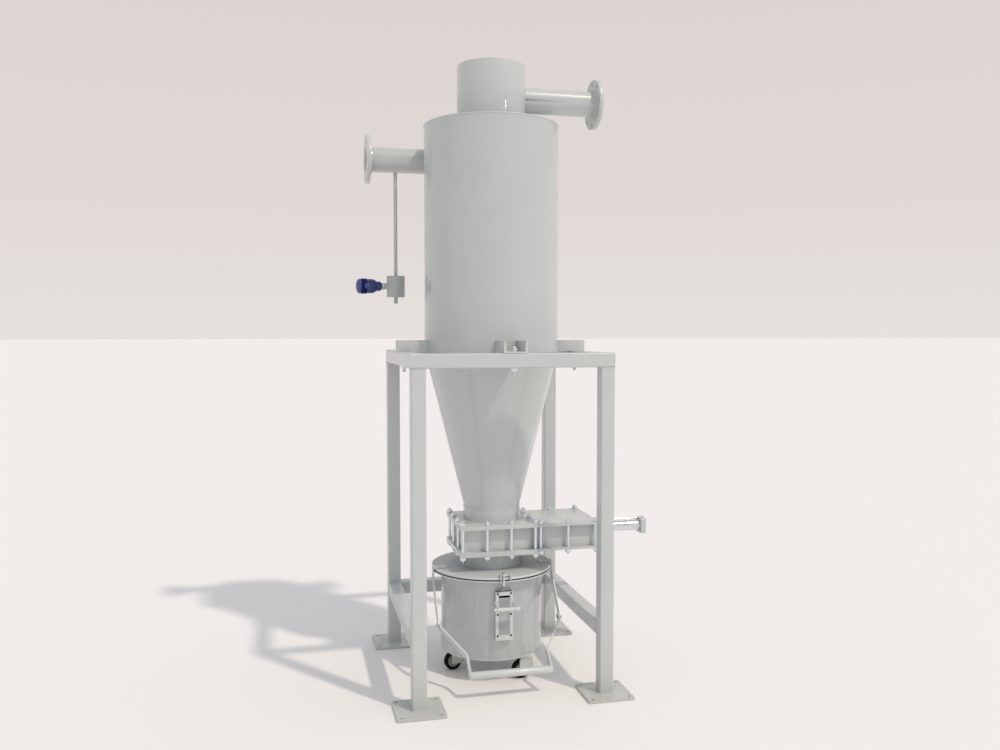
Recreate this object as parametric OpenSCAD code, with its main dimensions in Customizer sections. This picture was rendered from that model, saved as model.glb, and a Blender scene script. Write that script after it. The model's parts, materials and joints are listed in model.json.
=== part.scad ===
// Cyclone dust collector on a welded frame, with a slide gate, a level pot and a wheeled dust bin.
// Millimetres, +Z up. The origin is on the floor, under the cyclone's axis.
// +X points to the clean air outlet and the gate's cylinder, -Y to the open front.

/* [Frame] */
// Width of the frame over its legs
frame_w = 850; // [800:10:1100]
// Depth of the frame over its legs
frame_d = 900; // [800:10:1100]
// Height of the top face of the support ring
ring_top = 1440; // [1400:10:1600]
// Outside size of the square tube
tube_size = 60; // [50:5:80]
// Wall of the square tube
tube_wall = 4; // [3:1:6]
// Outside corner radius of the square tube
tube_round = 6; // [4:1:8]
// Height of the top face of the lower ties
tie_top = 305; // [250:5:330]
// Side of the square base plates
plate_size = 200; // [160:10:240]
// Thickness of the base plates
plate_t = 10; // [8:1:20]
// Distance between anchor holes
anchor_pitch = 160; // [120:5:200]
// Diameter of the anchor holes
anchor_d = 14; // [11:1:18]

/* [Cyclone] */
// Outside diameter of the cyclone body
body_d = 600; // [560:10:660]
// Height of the top face of the roof
roof_top = 2437; // [2400:1:2600]
// Thickness of the cyclone's sheet
sheet_t = 4; // [3:1:6]
// Thickness of the flat roof
roof_t = 5; // [4:1:8]
// Outside diameter of the clean air head
head_d = 305; // [280:5:330]
// Height of the clean air head over the roof
head_h = 262; // [230:1:300]
// Outside diameter of the vortex finder inside the body
finder_d = 240; // [200:5:260]
// Length of the vortex finder under the roof
finder_len = 330; // [280:10:400]
// Height where the cone ends and the neck begins
cone_end = 744; // [730:1:780]
// Outside diameter of the dust necks
neck_d = 252; // [236:4:264]

/* [Pipes and flanges] */
// Outside diameter of the inlet and outlet pipes
pipe_d = 114.3; // [108:0.1:120]
// Wall of the pipes
pipe_wall = 3.6; // [3:0.1:5]
// Outside diameter of the pipe flanges
flange_d = 220; // [210:1:230]
// Thickness of the pipe flanges
flange_t = 18; // [14:1:22]
// Length of the collar behind each flange
collar_len = 10; // [6:1:20]
// Wall of the collar around the pipe
collar_wall = 7; // [5:0.5:9]
// Diameter of the flange bolt circle
bolt_circle = 180; // [176:1:184]
// Number of holes in each flange
bolt_holes = 8; // [4:4:8]
// Diameter of the flange holes
bolt_hole_d = 18; // [17:0.5:20]
// Height of the inlet pipe's axis
inlet_z = 2316; // [2290:1:2330]
// Gap between the inlet pipe and the line of the body's side
inlet_inset = 7.85; // [6:0.05:20]
// Distance from the axis to the inlet flange's face
inlet_reach = 537; // [500:1:600]
// Height of the outlet pipe's axis
outlet_z = 2563; // [2540:1:2590]
// Distance from the axis to the outlet flange's face
outlet_reach = 491; // [440:1:560]

/* [Body brackets] */
// Width of the channel brackets
channel_w = 100; // [80:5:120]
// Height of the channel's sides
channel_h = 50; // [40:1:60]
// Thickness of the channel's web
channel_web = 6; // [5:1:8]
// Thickness of the channel's sides at their tips
channel_tip = 8; // [6:0.5:9]
// Distance from the ring's outer face to the bracket bolts
bolt_inset = 30; // [26:1:38]
// Diameter of the large bolts
large_bolt_d = 16; // [14:1:16]
// Width across flats of the large nuts
large_nut_af = 24; // [22:1:24]
// Height of the large nuts
large_nut_h = 13; // [10:1:14]
// Clearance around the large bolts
large_bolt_gap = 1; // [0.5:0.1:1]
// Length of bolt that stands out under the ring
bolt_tail = 17; // [8:1:30]

/* [Slide gate] */
// Height of the gate blade's middle
gate_z = 616; // [600:1:625]
// Side of the square valve plates
valve_size = 350; // [330:10:380]
// Thickness of the valve plates
valve_plate_t = 20; // [15:1:22]
// Distance between the two valve plates
valve_gap = 98; // [80:2:110]
// Diameter of the passage through the valve
passage_d = 200; // [180:5:210]
// Wall of the seat rings around the passage
seat_wall = 10; // [6:1:12]
// Thickness of the gate blade
blade_t = 10; // [8:1:14]
// Gap between the blade and each seat ring
blade_gap = 0.3; // [0.3:0.1:0.5]
// Travel of the gate blade
gate_travel = 210; // [205:1:212]
// Length of the bonnet that holds the open blade
bonnet_len = 287; // [285:1:320]
// Width of the bonnet
bonnet_w = 336; // [320:4:340]
// Thickness of the bonnet's plates
bonnet_plate_t = 10; // [6:1:12]
// Distance from the plates' edges to the valve walls
wall_inset = 35; // [30:1:38]
// Thickness of the valve and bonnet walls
wall_t = 12; // [8:1:14]
// Diameter of the tie rods
tie_rod_d = 12; // [10:1:14]
// Distance from the plates' edges to the tie rods
tie_rod_edge = 12; // [11:1:14]
// Clearance around the tie rods
tie_rod_gap = 0.5; // [0.3:0.1:1]
// Width across flats of the tie rod nuts
rod_nut_af = 19; // [17:1:20]
// Height of the tie rod nuts
rod_nut_h = 10; // [8:1:12]
// Length of tie rod that stands out of each lower nut
rod_tail = 8; // [3:1:12]
// Length of tie rod that stands out of each upper nut
rod_tip = 6; // [2:1:10]

/* [Gate cylinder] */
// Outside diameter of the cylinder's barrel
barrel_d = 50; // [46:1:60]
// Wall of the barrel
barrel_wall = 2.5; // [2:0.5:4]
// Side of the square cylinder caps
cap_size = 70; // [64:1:80]
// Length of the rear cap
rear_cap_len = 27; // [20:1:35]
// Length of the front cap
front_cap_len = 13; // [10:1:20]
// Diameter of the piston rod
piston_rod_d = 16; // [12:1:18]
// Thickness of the piston
piston_t = 16; // [12:1:20]
// Radial running gap of the rod, the piston and all pins
run_gap = 0.05; // [0.03:0.01:0.08]
// Diameter of the air pipe along the barrel
air_pipe_d = 8; // [6:1:10]

/* [Level pot] */
// Distance from the axis to the tapping pipe
tap_reach = 401; // [390:1:440]
// Outside diameter of the tapping pipe
tap_d = 17.2; // [14:0.1:21]
// Wall of the tapping pipe
tap_wall = 2.3; // [1.5:0.1:3]
// Outside diameter of the pot
pot_d = 84; // [70:1:100]
// Height of the pot
pot_h = 97; // [80:1:120]
// Height of the pot's top face
pot_top = 1785; // [1700:1:1900]
// Length of the drain stub under the pot
drain_len = 29; // [15:1:50]
// Diameter of the socket on the pot's side
socket_d = 28; // [22:1:34]
// Length of the socket on the pot's side
socket_len = 24; // [15:1:40]
// Diameter of the level transmitter
sensor_d = 70; // [60:1:80]
// Length of the level transmitter
sensor_len = 119; // [105:1:130]

/* [Dust bin] */
// Diameter of the lid and the bin's rim
lid_d = 540; // [520:5:560]
// Height of the lid's top face
lid_top = 478; // [470:1:485]
// Thickness of the lid
lid_t = 10; // [8:1:12]
// Thickness of the gasket
gasket_t = 5; // [3:1:8]
// Thickness of the bin's rim
rim_t = 6; // [4:1:8]
// Width of the rim outside the bin's side
rim_w = 42; // [35:1:50]
// Wall of the bin
bin_wall = 2; // [1.5:0.5:4]
// Height of the bin's underside
bin_bottom = 103; // [103:1:115]
// Thickness of the bin's floor
bin_floor_t = 4; // [3:1:6]

/* [Draw latch] */
// Width of the latch base
latch_w = 76; // [70:1:84]
// Height of the latch base
latch_h = 210; // [190:2:220]
// Height of the latch base's lower edge
latch_bottom = 201; // [190:1:215]
// Distance from the bin's side to the latch base's face
latch_depth = 24; // [22:1:28]
// Sheet thickness of the latch base
latch_t = 3; // [2:0.5:4]
// Across distance between the latch screws
screw_pitch_x = 61; // [56:1:64]
// Up distance between the latch screws
screw_pitch_z = 92; // [84:1:96]
// Diameter of the screw recesses
screw_d = 5; // [4:0.5:7]
// Width of the slot in the latch base
slot_w = 49; // [40:1:52]
// Height of the slot in the latch base
slot_h = 10; // [6:1:14]
// Height of the latch lever's pins over the base's lower edge
lever_pin_up = 165; // [155:1:175]
// Distance from the base's face in to the latch lever's pins
lever_pin_in = 8; // [7:1:10]
// Diameter of the latch lever's pins
lever_pin_d = 6; // [5:0.5:7]
// Length of the latch lever
lever_len = 60; // [50:1:64]
// Droop of the latch lever at rest
lever_droop = 16; // [10:1:30]
// Height of the latch lever's arms
lever_arm_h = 12; // [11:1:14]
// Thickness of the latch lever's arms
lever_arm_t = 3; // [2:0.5:4]
// Side gap between the latch lever's arms and the base
lever_gap = 0.4; // [0.3:0.1:0.6]
// Length of the cross handle
handle_len = 114; // [100:2:140]
// Diameter of the cross handle
handle_d = 16; // [14:1:18]
// Diameter of the latch's hook rod
hook_d = 9; // [8:0.5:10]
// Travel of the hook rod
hook_travel = 10; // [9:0.5:12]
// Gap between the hook and the keeper's bar
hook_gap = 0.4; // [0.3:0.1:0.6]
// Width of the keeper on the lid
keeper_w = 46; // [40:1:56]
// Height of the keeper over the lid
keeper_h = 15; // [13:1:18]
// Diameter of the keeper's bar
keeper_bar_d = 8; // [7:0.5:9]

/* [Lifting bail] */
// Thickness of the bail's hangers
hanger_t = 6; // [5:1:8]
// Width of the hangers and the bail's arms
bail_w = 30; // [26:1:34]
// Forward distance from the axis to the bail's pins
bail_pin_y = 170; // [150:1:190]
// Height of the bail's pins
bail_pin_z = 262; // [250:1:290]
// Diameter of the bail's pins
bail_pin_d = 10; // [8:1:12]
// Thickness of the bail's arms
arm_t = 8; // [6:1:10]
// Side gap between the arms and the hangers
arm_gap = 0.3; // [0.3:0.1:0.5]
// Length of the bail's grip bar
grip_len = 356; // [320:2:400]
// Diameter of the grip bar
grip_d = 32; // [28:1:36]
// Length of each arm from its pin to its upper bend
arm_bend_1 = 22; // [18:1:40]
// Length of each arm from its pin to its lower bend
arm_bend_2 = 168; // [140:1:200]
// Forward distance from the axis to the grip bar
grip_y = 378; // [350:1:400]
// Height of the grip bar
grip_z = 106; // [90:1:120]

/* [Casters] */
// Distance from the bin's side in to the right casters' pivots
caster_in = 26; // [25:1:34]
// Distance from the bin's side in to the left caster's pivot
caster_left_in = 68; // [40:1:80]
// Angle between the right casters and the +X axis
caster_angle = 56.3; // [50:0.1:65]
// Side of the casters' top plates
top_plate_size = 48; // [46:1:50]
// Diameter of the caster wheels
wheel_d = 80; // [74:1:84]
// Width of the caster wheels
wheel_w = 26; // [20:1:28]
// Distance from the caster pivot to the wheel's axle
trail = 20; // [15:1:22]
// Direction in which the wheels trail
trail_dir = 190; // [0:5:360]
// Height of the clamped bin's wheels over the floor
wheel_lift = 1; // [0.5:0.5:3]
// Diameter of the wheel axles
axle_d = 10; // [8:1:12]
// Diameter of the caster pivots
pivot_d = 12; // [10:1:14]
// Thickness of the caster's top plate
top_plate_t = 4; // [3:1:5]
// Thickness of the fork's sheet
fork_t = 3; // [2:0.5:4]

/* [Hidden] */
$fn = 72;
eps = 0.01;
over = 1;

// Paint and metal colours
paint = [0.74, 0.75, 0.73];
zinc = [0.82, 0.84, 0.86];
polished = [0.72, 0.74, 0.77];
navy = [0.13, 0.17, 0.42];
black = [0.06, 0.06, 0.06];
white_paint = [0.86, 0.86, 0.83];

// Frame
ring_bottom = ring_top - tube_size;
tie_mid_z = tie_top - tube_size / 2;
leg_x = frame_w / 2 - tube_size / 2;
leg_y = frame_d / 2 - tube_size / 2;

// Cyclone
body_r = body_d / 2;
head_r = head_d / 2;
neck_r = neck_d / 2;
roof_under = roof_top - roof_t;
pipe_r = pipe_d / 2;
bore_r = pipe_r - pipe_wall;
flange_back = flange_t + collar_len;
inlet_y = body_r - inlet_inset - pipe_r;
bolt_r = large_bolt_d / 2;
large_hole_r = bolt_r + large_bolt_gap;

// Slide gate
passage_r = passage_d / 2;
seat_r = passage_r + seat_wall;
valve_in_top = gate_z + valve_gap / 2;
valve_in_bottom = gate_z - valve_gap / 2;
valve_top = valve_in_top + valve_plate_t;
valve_bottom = valve_in_bottom - valve_plate_t;
bonnet_x = valve_size / 2 + 3;
bonnet_end = bonnet_x + bonnet_len;
wall_y = valve_size / 2 - wall_inset;
throat_y = wall_y - wall_t - 2;
blade_r = seat_r;
blade_tail = blade_r + 22;
blade_block = 12;
rod_hole_r = tie_rod_d / 2 + tie_rod_gap;
valve_rod_at = valve_size / 2 - tie_rod_edge;
valve_rods = [for (i = [-3:2:3], j = [-3:2:3]) if (abs(j) == 3 || i == -3)
    [i * valve_rod_at / 3, j * valve_rod_at / 3]];
throat_studs = [for (j = [-1, 1]) [valve_rod_at, j * valve_rod_at / 3]];
bonnet_rod_y = bonnet_w / 2 - tie_rod_edge - 3;
bonnet_rods = [for (i = [0:2], s = [-1, 1])
    [bonnet_x + tie_rod_edge + i * (bonnet_len - 2 * tie_rod_edge - 7) / 2, s * bonnet_rod_y]];

// Gate cylinder
barrel_r = barrel_d / 2;
barrel_bore_r = barrel_r - barrel_wall;
barrel_x = bonnet_end + front_cap_len;
piston_clear = 2;
barrel_len = gate_travel + piston_t + 2 * piston_clear + 5;
rear_cap_x = barrel_x + barrel_len;
rod_r = piston_rod_d / 2;
air_pipe_at = [20, 28];

// Level pot
tap_r = tap_d / 2;
pot_r = pot_d / 2;
sensor_z = pot_top - pot_h / 2 + 1;
sensor_r = sensor_d / 2;
sensor_x = -(tap_reach + pot_r + socket_len);
cover_len = sensor_len * 0.21;

// Dust bin
lid_r = lid_d / 2;
lid_under = lid_top - lid_t;
gasket_under = lid_under - gasket_t;
rim_under = gasket_under - rim_t;
bin_r = lid_r - rim_w;
caster_right = (bin_r - caster_in) * [cos(caster_angle), sin(caster_angle)];
caster_left = [-(bin_r - caster_left_in), 0];

// Draw latch
latch_face = bin_r + latch_depth;
latch_top = latch_bottom + latch_h;
lever_pin = [-(latch_face - lever_pin_in), latch_bottom + lever_pin_up];
lever_tip = lever_pin + lever_len * [-cos(lever_droop), -sin(lever_droop)];
lever_arm_x = latch_w / 2 + lever_gap;
hook_x = -8;
hook_r = hook_d / 2;
hook_y = -(lid_r + hook_r + 3);
hook_in_y = -(bin_r + latch_depth / 2);
hook_knee_z = rim_under - 11;
keeper_t = 4;
keeper_bar = [-(lid_r - 4), lid_top + 8];
guide_h = 10;
guide_z = latch_top - guide_h - 4;
hook_foot = guide_z - 1;
slot_z = latch_top - 21;

// Bail
hanger_x = lid_r;
bail_pin = [-bail_pin_y, bail_pin_z];
hanger_knee = [-30, lid_under - 38];
arm_x = hanger_x - arm_gap - arm_t / 2;
arm_low_x = grip_len / 2 - arm_t / 2;
grip = [-grip_y, grip_z];
arm_len = norm(grip - bail_pin);

// Casters
wheel_r = wheel_d / 2;
axle_z = wheel_r + wheel_lift;
top_plate_z = bin_bottom - top_plate_t;
crown_gap = 0.3;
crown_top = top_plate_z - crown_gap;
crown_r = 24;
crown_t = 6;
crown_bottom = crown_top - crown_t;
pivot_head_t = 3;
fork_in = wheel_w / 2 + 0.8;

module ring_2d(r_out, r_in) {
    difference() {
        circle(r = r_out);
        circle(r = r_in);
    }
}

module pipe(r_out, r_in, length) {
    linear_extrude(length) ring_2d(r_out, r_in);
}

module rounded_square(size, radius) {
    square([size - 2 * radius, size], center = true);
    square([size, size - 2 * radius], center = true);
    for (sx = [-1, 1], sy = [-1, 1])
        translate([sx * (size / 2 - radius), sy * (size / 2 - radius)]) circle(r = radius);
}

// Section of the square tube, round its own axis
module tube_2d() {
    difference() {
        rounded_square(tube_size, tube_round);
        rounded_square(tube_size - 2 * tube_wall, max(tube_round - tube_wall, 1));
    }
}

// Square tube along +X, centred on its length
module tube_x(length) {
    rotate([90, 0, 90]) translate([0, 0, -length / 2]) linear_extrude(length) tube_2d();
}

module hex_nut(flats, height, hole_r) {
    difference() {
        cylinder(d = flats / cos(30), h = height, $fn = 6);
        translate([0, 0, -over]) cylinder(r = hole_r, h = height + 2 * over);
    }
}

// Flat strip between two points of a plane, with round ends
module strip_2d(from, to, width) {
    run = to - from;
    translate(from) {
        rotate(atan2(run.y, run.x)) translate([0, -width / 2]) square([norm(run), width]);
        circle(d = width);
    }
    translate(to) circle(d = width);
}

// A shape drawn in (Y, Z), extruded along +X from x
module side_plate(x, thickness) {
    translate([x, 0, 0]) rotate([90, 0, 90]) linear_extrude(thickness) children();
}

module at_anchor_holes() {
    for (sx = [-1, 1], sy = [-1, 1])
        translate([sx * anchor_pitch / 2, sy * anchor_pitch / 2]) children();
}

// Frame

module leg(sx, sy) {
    color(paint) translate([sx * leg_x, sy * leg_y, plate_t])
        linear_extrude(ring_bottom - plate_t) tube_2d();
}

module base_plates() {
    color(paint)
        for (sx = [-1, 1], sy = [-1, 1])
            translate([sx * leg_x, sy * leg_y, 0]) linear_extrude(plate_t) difference() {
                rounded_square(plate_size, 8);
                at_anchor_holes() circle(d = anchor_d);
            }
}

// One side of the mitred ring, of the given length and distance from the axis, facing -Y
module ring_side(length, away) {
    difference() {
        intersection() {
            translate([0, -away + tube_size / 2, ring_top - tube_size / 2]) tube_x(length);
            translate([0, 0, ring_bottom - over]) linear_extrude(tube_size + 2 * over)
                polygon([
                    [-length / 2, -away], [length / 2, -away],
                    [length / 2 - tube_size, -away + tube_size], [-length / 2 + tube_size, -away + tube_size]
                ]);
        }
        translate([0, -away + bolt_inset, ring_bottom - over])
            cylinder(r = large_hole_r, h = tube_size + 2 * over);
    }
}

module ring_front() {
    color(paint) ring_side(frame_w, frame_d / 2);
}

module ring_back() {
    color(paint) mirror([0, 1, 0]) ring_side(frame_w, frame_d / 2);
}

module ring_left() {
    color(paint) rotate(-90) ring_side(frame_d, frame_w / 2);
}

module ring_right() {
    color(paint) rotate(90) ring_side(frame_d, frame_w / 2);
}

module side_tie(side) {
    color(paint) translate([side * leg_x, 0, tie_mid_z]) rotate(90) tube_x(frame_d - 2 * tube_size);
}

module tie_back() {
    color(paint) translate([0, leg_y, tie_mid_z]) tube_x(frame_w - 2 * tube_size);
}

// Channel on its back, open upwards, with sides that thicken towards the web
module channel_2d() {
    root = channel_tip + 3;
    difference() {
        translate([-channel_w / 2, 0]) square([channel_w, channel_h]);
        polygon([
            [-channel_w / 2 + channel_tip, channel_h + over], [-channel_w / 2 + root, channel_web],
            [channel_w / 2 - root, channel_web], [channel_w / 2 - channel_tip, channel_h + over]
        ]);
    }
}

// Bracket from the ring's outer face at -Y to the body
module bracket(away) {
    difference() {
        translate([0, -away, ring_top]) rotate([90, 0, 180]) linear_extrude(away) channel_2d();
        translate([0, 0, ring_top - over]) cylinder(r = body_r, h = channel_h + 2 * over);
        translate([0, -away + bolt_inset, ring_top - over])
            cylinder(r = large_hole_r, h = channel_web + 2 * over);
    }
}

// Turns and distances of the four sides of the ring, from the front anticlockwise
ring_sides = [[0, frame_d / 2], [90, frame_w / 2], [180, frame_d / 2], [270, frame_w / 2]];

module support_brackets() {
    color(paint) for (side = ring_sides) rotate(side[0]) bracket(side[1]);
}

module bracket_bolt(away) {
    top = ring_top + channel_web;
    translate([0, -away + bolt_inset, 0]) {
        translate([0, 0, ring_bottom - large_nut_h - bolt_tail])
            cylinder(r = bolt_r, h = top + large_nut_h + 8 - (ring_bottom - large_nut_h - bolt_tail));
        translate([0, 0, top]) hex_nut(large_nut_af, large_nut_h, bolt_r - eps);
        translate([0, 0, ring_bottom - large_nut_h]) hex_nut(large_nut_af, large_nut_h, bolt_r - eps);
    }
}

// The four bracket bolts, and the one bolt left in the outlet flange
module large_bolts() {
    color(zinc) for (side = ring_sides) rotate(side[0]) bracket_bolt(side[1]);
}

// Cyclone

// Bore of the inlet, along +X through the body's wall only on the inlet side
module inlet_bore() {
    translate([-body_r, inlet_y, inlet_z]) rotate([0, 90, 0]) cylinder(r = bore_r, h = body_r);
}

module body_shell() {
    color(paint) difference() {
        translate([0, 0, ring_top]) pipe(body_r, body_r - sheet_t, roof_under - ring_top);
        inlet_bore();
    }
}

module roof_plate() {
    color(paint) translate([0, 0, roof_under]) pipe(body_r, finder_d / 2 - sheet_t, roof_t);
}

module clean_air_head() {
    color(paint) difference() {
        translate([0, 0, roof_top]) cylinder(r = head_r, h = head_h);
        translate([0, 0, roof_top - over]) cylinder(r = head_r - sheet_t, h = head_h + over - roof_t);
        translate([0, 0, outlet_z]) rotate([0, 90, 0]) cylinder(r = bore_r, h = head_d);
    }
}

module vortex_finder() {
    color(paint) translate([0, 0, roof_under - finder_len])
        pipe(finder_d / 2, finder_d / 2 - sheet_t, finder_len);
}

module cone() {
    color(paint) rotate_extrude() polygon([
        [neck_r - sheet_t, cone_end], [neck_r, cone_end], [body_r, ring_top], [body_r - sheet_t, ring_top]
    ]);
}

module upper_neck() {
    color(paint) translate([0, 0, valve_top]) pipe(neck_r, neck_r - sheet_t, cone_end - valve_top);
}

// Flange with its face at z = 0 and its collar towards +Z
module pipe_flange() {
    difference() {
        union() {
            cylinder(d = flange_d, h = flange_t);
            cylinder(r = pipe_r + collar_wall, h = flange_back);
        }
        translate([0, 0, -over]) cylinder(r = bore_r, h = flange_back + 2 * over);
        for (i = [0:bolt_holes - 1]) rotate(i * 360 / bolt_holes)
            translate([bolt_circle / 2, 0, -over]) cylinder(d = bolt_hole_d, h = flange_t + 2 * over);
    }
}

module inlet_pipe() {
    color(paint) difference() {
        translate([-(inlet_reach - flange_back), inlet_y, inlet_z]) rotate([0, 90, 0])
            pipe(pipe_r, bore_r, inlet_reach - flange_back);
        translate([0, 0, ring_top]) cylinder(r = body_r, h = roof_top - ring_top, $fn = 240);
    }
}

module inlet_flange() {
    color(paint) translate([-inlet_reach, inlet_y, inlet_z]) rotate([0, 90, 0]) pipe_flange();
}

module outlet_pipe() {
    color(paint) difference() {
        translate([0, 0, outlet_z]) rotate([0, 90, 0]) pipe(pipe_r, bore_r, outlet_reach - flange_back);
        translate([0, 0, roof_top]) cylinder(r = head_r, h = head_h);
    }
}

module outlet_flange() {
    color(paint) translate([outlet_reach, 0, outlet_z]) rotate([0, -90, 0]) pipe_flange();
}

// Earthing stud near the front edge of the roof
module roof_stud() {
    stud_r = 6;
    color(zinc) translate([4, -body_r + 50, roof_top]) {
        cylinder(r = stud_r, h = 50);
        translate([0, 0, 50]) cylinder(r1 = stud_r, r2 = 3, h = 8);
        cylinder(d = 19 / cos(30), h = 10, $fn = 6);
        translate([0, 0, 16]) cylinder(d = 19 / cos(30), h = 14, $fn = 6);
    }
}

// Slide gate

module at_points(points) {
    for (p = points) translate([p.x, p.y]) children();
}

module valve_plate(z) {
    color(paint) translate([0, 0, z]) linear_extrude(valve_plate_t) difference() {
        square(valve_size, center = true);
        circle(r = passage_r);
        at_points(concat(valve_rods, throat_studs)) circle(r = rod_hole_r);
    }
}

// Plates of the open-fronted valve body: a back wall at -X and two long sides, stepped in at the throat
module valve_walls() {
    side_end = valve_size / 2 - 25;
    color(paint) translate([0, 0, valve_in_bottom]) linear_extrude(valve_gap) {
        translate([-wall_y, -wall_y]) square([wall_t, 2 * wall_y]);
        for (s = [-1, 1]) {
            translate([-wall_y, s * (wall_y - wall_t / 2) - wall_t / 2]) square([wall_y + side_end, wall_t]);
            translate([side_end - wall_t, s * (throat_y + wall_t / 2) - wall_t / 2 - 1])
                square([wall_t, wall_t + 2]);
            translate([side_end - wall_t, s * (throat_y - wall_t / 2) - wall_t / 2])
                square([bonnet_x - side_end + wall_t, wall_t]);
        }
    }
}

module valve_seats() {
    seat_h = (valve_gap - blade_t) / 2 - blade_gap;
    color(zinc) {
        translate([0, 0, valve_in_bottom]) pipe(seat_r, passage_r, seat_h);
        translate([0, 0, valve_in_top - seat_h]) pipe(seat_r, passage_r, seat_h);
    }
}

module bonnet_plates() {
    color(paint)
        for (z = [valve_in_bottom - bonnet_plate_t, valve_in_top])
            translate([0, 0, z]) linear_extrude(bonnet_plate_t) difference() {
                translate([bonnet_x, -bonnet_w / 2]) square([bonnet_len, bonnet_w]);
                at_points(bonnet_rods) circle(r = rod_hole_r);
            }
}

module bonnet_walls() {
    bonnet_wall_y = bonnet_w / 2 - wall_inset;
    end_t = 10;
    color(paint) difference() {
        translate([0, 0, valve_in_bottom]) linear_extrude(valve_gap) {
            for (s = [-1, 1]) {
                translate([bonnet_x, s * (bonnet_wall_y - wall_t / 2) - wall_t / 2])
                    square([bonnet_len - end_t, wall_t]);
                translate([bonnet_x, s * (throat_y - wall_t / 2) - wall_t / 2])
                    square([wall_t, bonnet_wall_y - throat_y + wall_t / 2]);
            }
            translate([bonnet_end - end_t, -bonnet_wall_y]) square([end_t, 2 * bonnet_wall_y]);
        }
        translate([bonnet_end - end_t - over, 0, gate_z]) rotate([0, 90, 0])
            cylinder(r = rod_r + 1, h = end_t + 2 * over);
    }
}

// Blade with a round leading edge, drawn open, and the block that the rod pulls
module gate_blade() {
    color(zinc) translate([gate_travel, 0, 0]) {
        translate([0, 0, gate_z - blade_t / 2]) linear_extrude(blade_t) {
            circle(r = blade_r);
            translate([0, -blade_r]) square([blade_tail, 2 * blade_r]);
        }
        translate([blade_tail - blade_block, -20, gate_z - 14]) cube([blade_block, 40, 28]);
    }
}

module piston_rod() {
    piston_x = rear_cap_x - piston_clear - 5 - piston_t;
    start = blade_tail + gate_travel;
    color(polished) translate([0, 0, gate_z]) rotate([0, 90, 0]) {
        translate([0, 0, start]) cylinder(r = rod_r, h = piston_x + piston_t - start);
        translate([0, 0, piston_x]) cylinder(r = barrel_bore_r - run_gap, h = piston_t);
    }
}

// Square cylinder cap from x, with chamfered long edges
module cap_block(x, length) {
    c = 5;
    h = cap_size / 2;
    translate([x, 0, gate_z]) rotate([90, 0, 90]) linear_extrude(length) polygon([
        [-h, -h + c], [-h + c, -h], [h - c, -h], [h, -h + c],
        [h, h - c], [h - c, h], [-h + c, h], [-h, h - c]
    ]);
}

module cylinder_front_cap() {
    color(paint) difference() {
        cap_block(bonnet_end, front_cap_len);
        translate([bonnet_end - over, 0, gate_z]) rotate([0, 90, 0])
            cylinder(r = rod_r + run_gap, h = front_cap_len + 2 * over);
    }
}

module cylinder_barrel() {
    color(polished) translate([barrel_x, 0, gate_z]) rotate([0, 90, 0])
        pipe(barrel_r, barrel_bore_r, barrel_len);
}

module cylinder_rear_cap() {
    color(paint) cap_block(rear_cap_x, rear_cap_len);
}

module air_pipe() {
    color(zinc) translate([barrel_x, air_pipe_at.x, gate_z + air_pipe_at.y]) rotate([0, 90, 0])
        cylinder(d = air_pipe_d, h = barrel_len);
}

// One tie rod through plates that end at low and high
module tie_rod(low, high) {
    translate([0, 0, low - rod_nut_h - rod_tail])
        cylinder(d = tie_rod_d, h = high - low + 2 * rod_nut_h + rod_tail + rod_tip);
}

// Through rods, and short studs where the blade passes between the plates
module tie_rods() {
    stud_len = valve_plate_t + rod_nut_h + rod_tip;
    color(zinc) {
        at_points(valve_rods) tie_rod(valve_bottom, valve_top);
        at_points(throat_studs) {
            translate([0, 0, valve_in_top]) cylinder(d = tie_rod_d, h = stud_len);
            translate([0, 0, valve_in_bottom - stud_len]) cylinder(d = tie_rod_d, h = stud_len);
        }
        at_points(bonnet_rods) tie_rod(valve_in_bottom - bonnet_plate_t, valve_in_top + bonnet_plate_t);
    }
}

module nut_pair(low, high) {
    translate([0, 0, low - rod_nut_h]) hex_nut(rod_nut_af, rod_nut_h, tie_rod_d / 2);
    translate([0, 0, high]) hex_nut(rod_nut_af, rod_nut_h, tie_rod_d / 2);
}

module rod_nuts() {
    color(zinc) {
        at_points(concat(valve_rods, throat_studs)) nut_pair(valve_bottom, valve_top);
        at_points(bonnet_rods) nut_pair(valve_in_bottom - bonnet_plate_t, valve_in_top + bonnet_plate_t);
    }
}

// Level pot

module tapping_pipe() {
    color(paint) difference() {
        translate([-tap_reach, inlet_y, pot_top]) pipe(tap_r, tap_r - tap_wall, inlet_z - pot_top);
        translate([-tap_reach, inlet_y, inlet_z]) rotate([0, 90, 0])
            cylinder(r = pipe_r, h = 4 * tap_d, center = true);
    }
}

// Closed pot with its drain stub and the socket that carries the transmitter
module level_pot() {
    color(paint) translate([-tap_reach, inlet_y, 0]) {
        translate([0, 0, pot_top - pot_h]) cylinder(r = pot_r, h = pot_h);
        translate([0, 0, pot_top - pot_h - drain_len]) pipe(tap_r, tap_r - tap_wall, drain_len);
        translate([0, 0, sensor_z]) rotate([0, -90, 0]) cylinder(d = socket_d, h = pot_r + socket_len);
    }
}

// Transmitter body, turned about its own axis, with its neck towards the pot
module sensor_housing() {
    body = sensor_len - cover_len;
    color(navy) translate([sensor_x, inlet_y, sensor_z]) {
        rotate([0, -90, 0]) rotate_extrude() polygon([
            [0, 0], [sensor_r * 0.42, 0], [sensor_r * 0.6, body * 0.06], [sensor_r * 0.63, body * 0.16],
            [sensor_r * 0.54, body * 0.25], [sensor_r * 0.84, body * 0.37], [sensor_r * 0.95, body * 0.48],
            [sensor_r * 0.95, body * 0.72], [sensor_r, body * 0.76], [sensor_r, body], [0, body]
        ]);
        translate([-body * 0.73, 0, 0]) rotate([90, 0, 0]) cylinder(d = sensor_d * 0.34, h = sensor_r + 5);
    }
}

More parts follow.
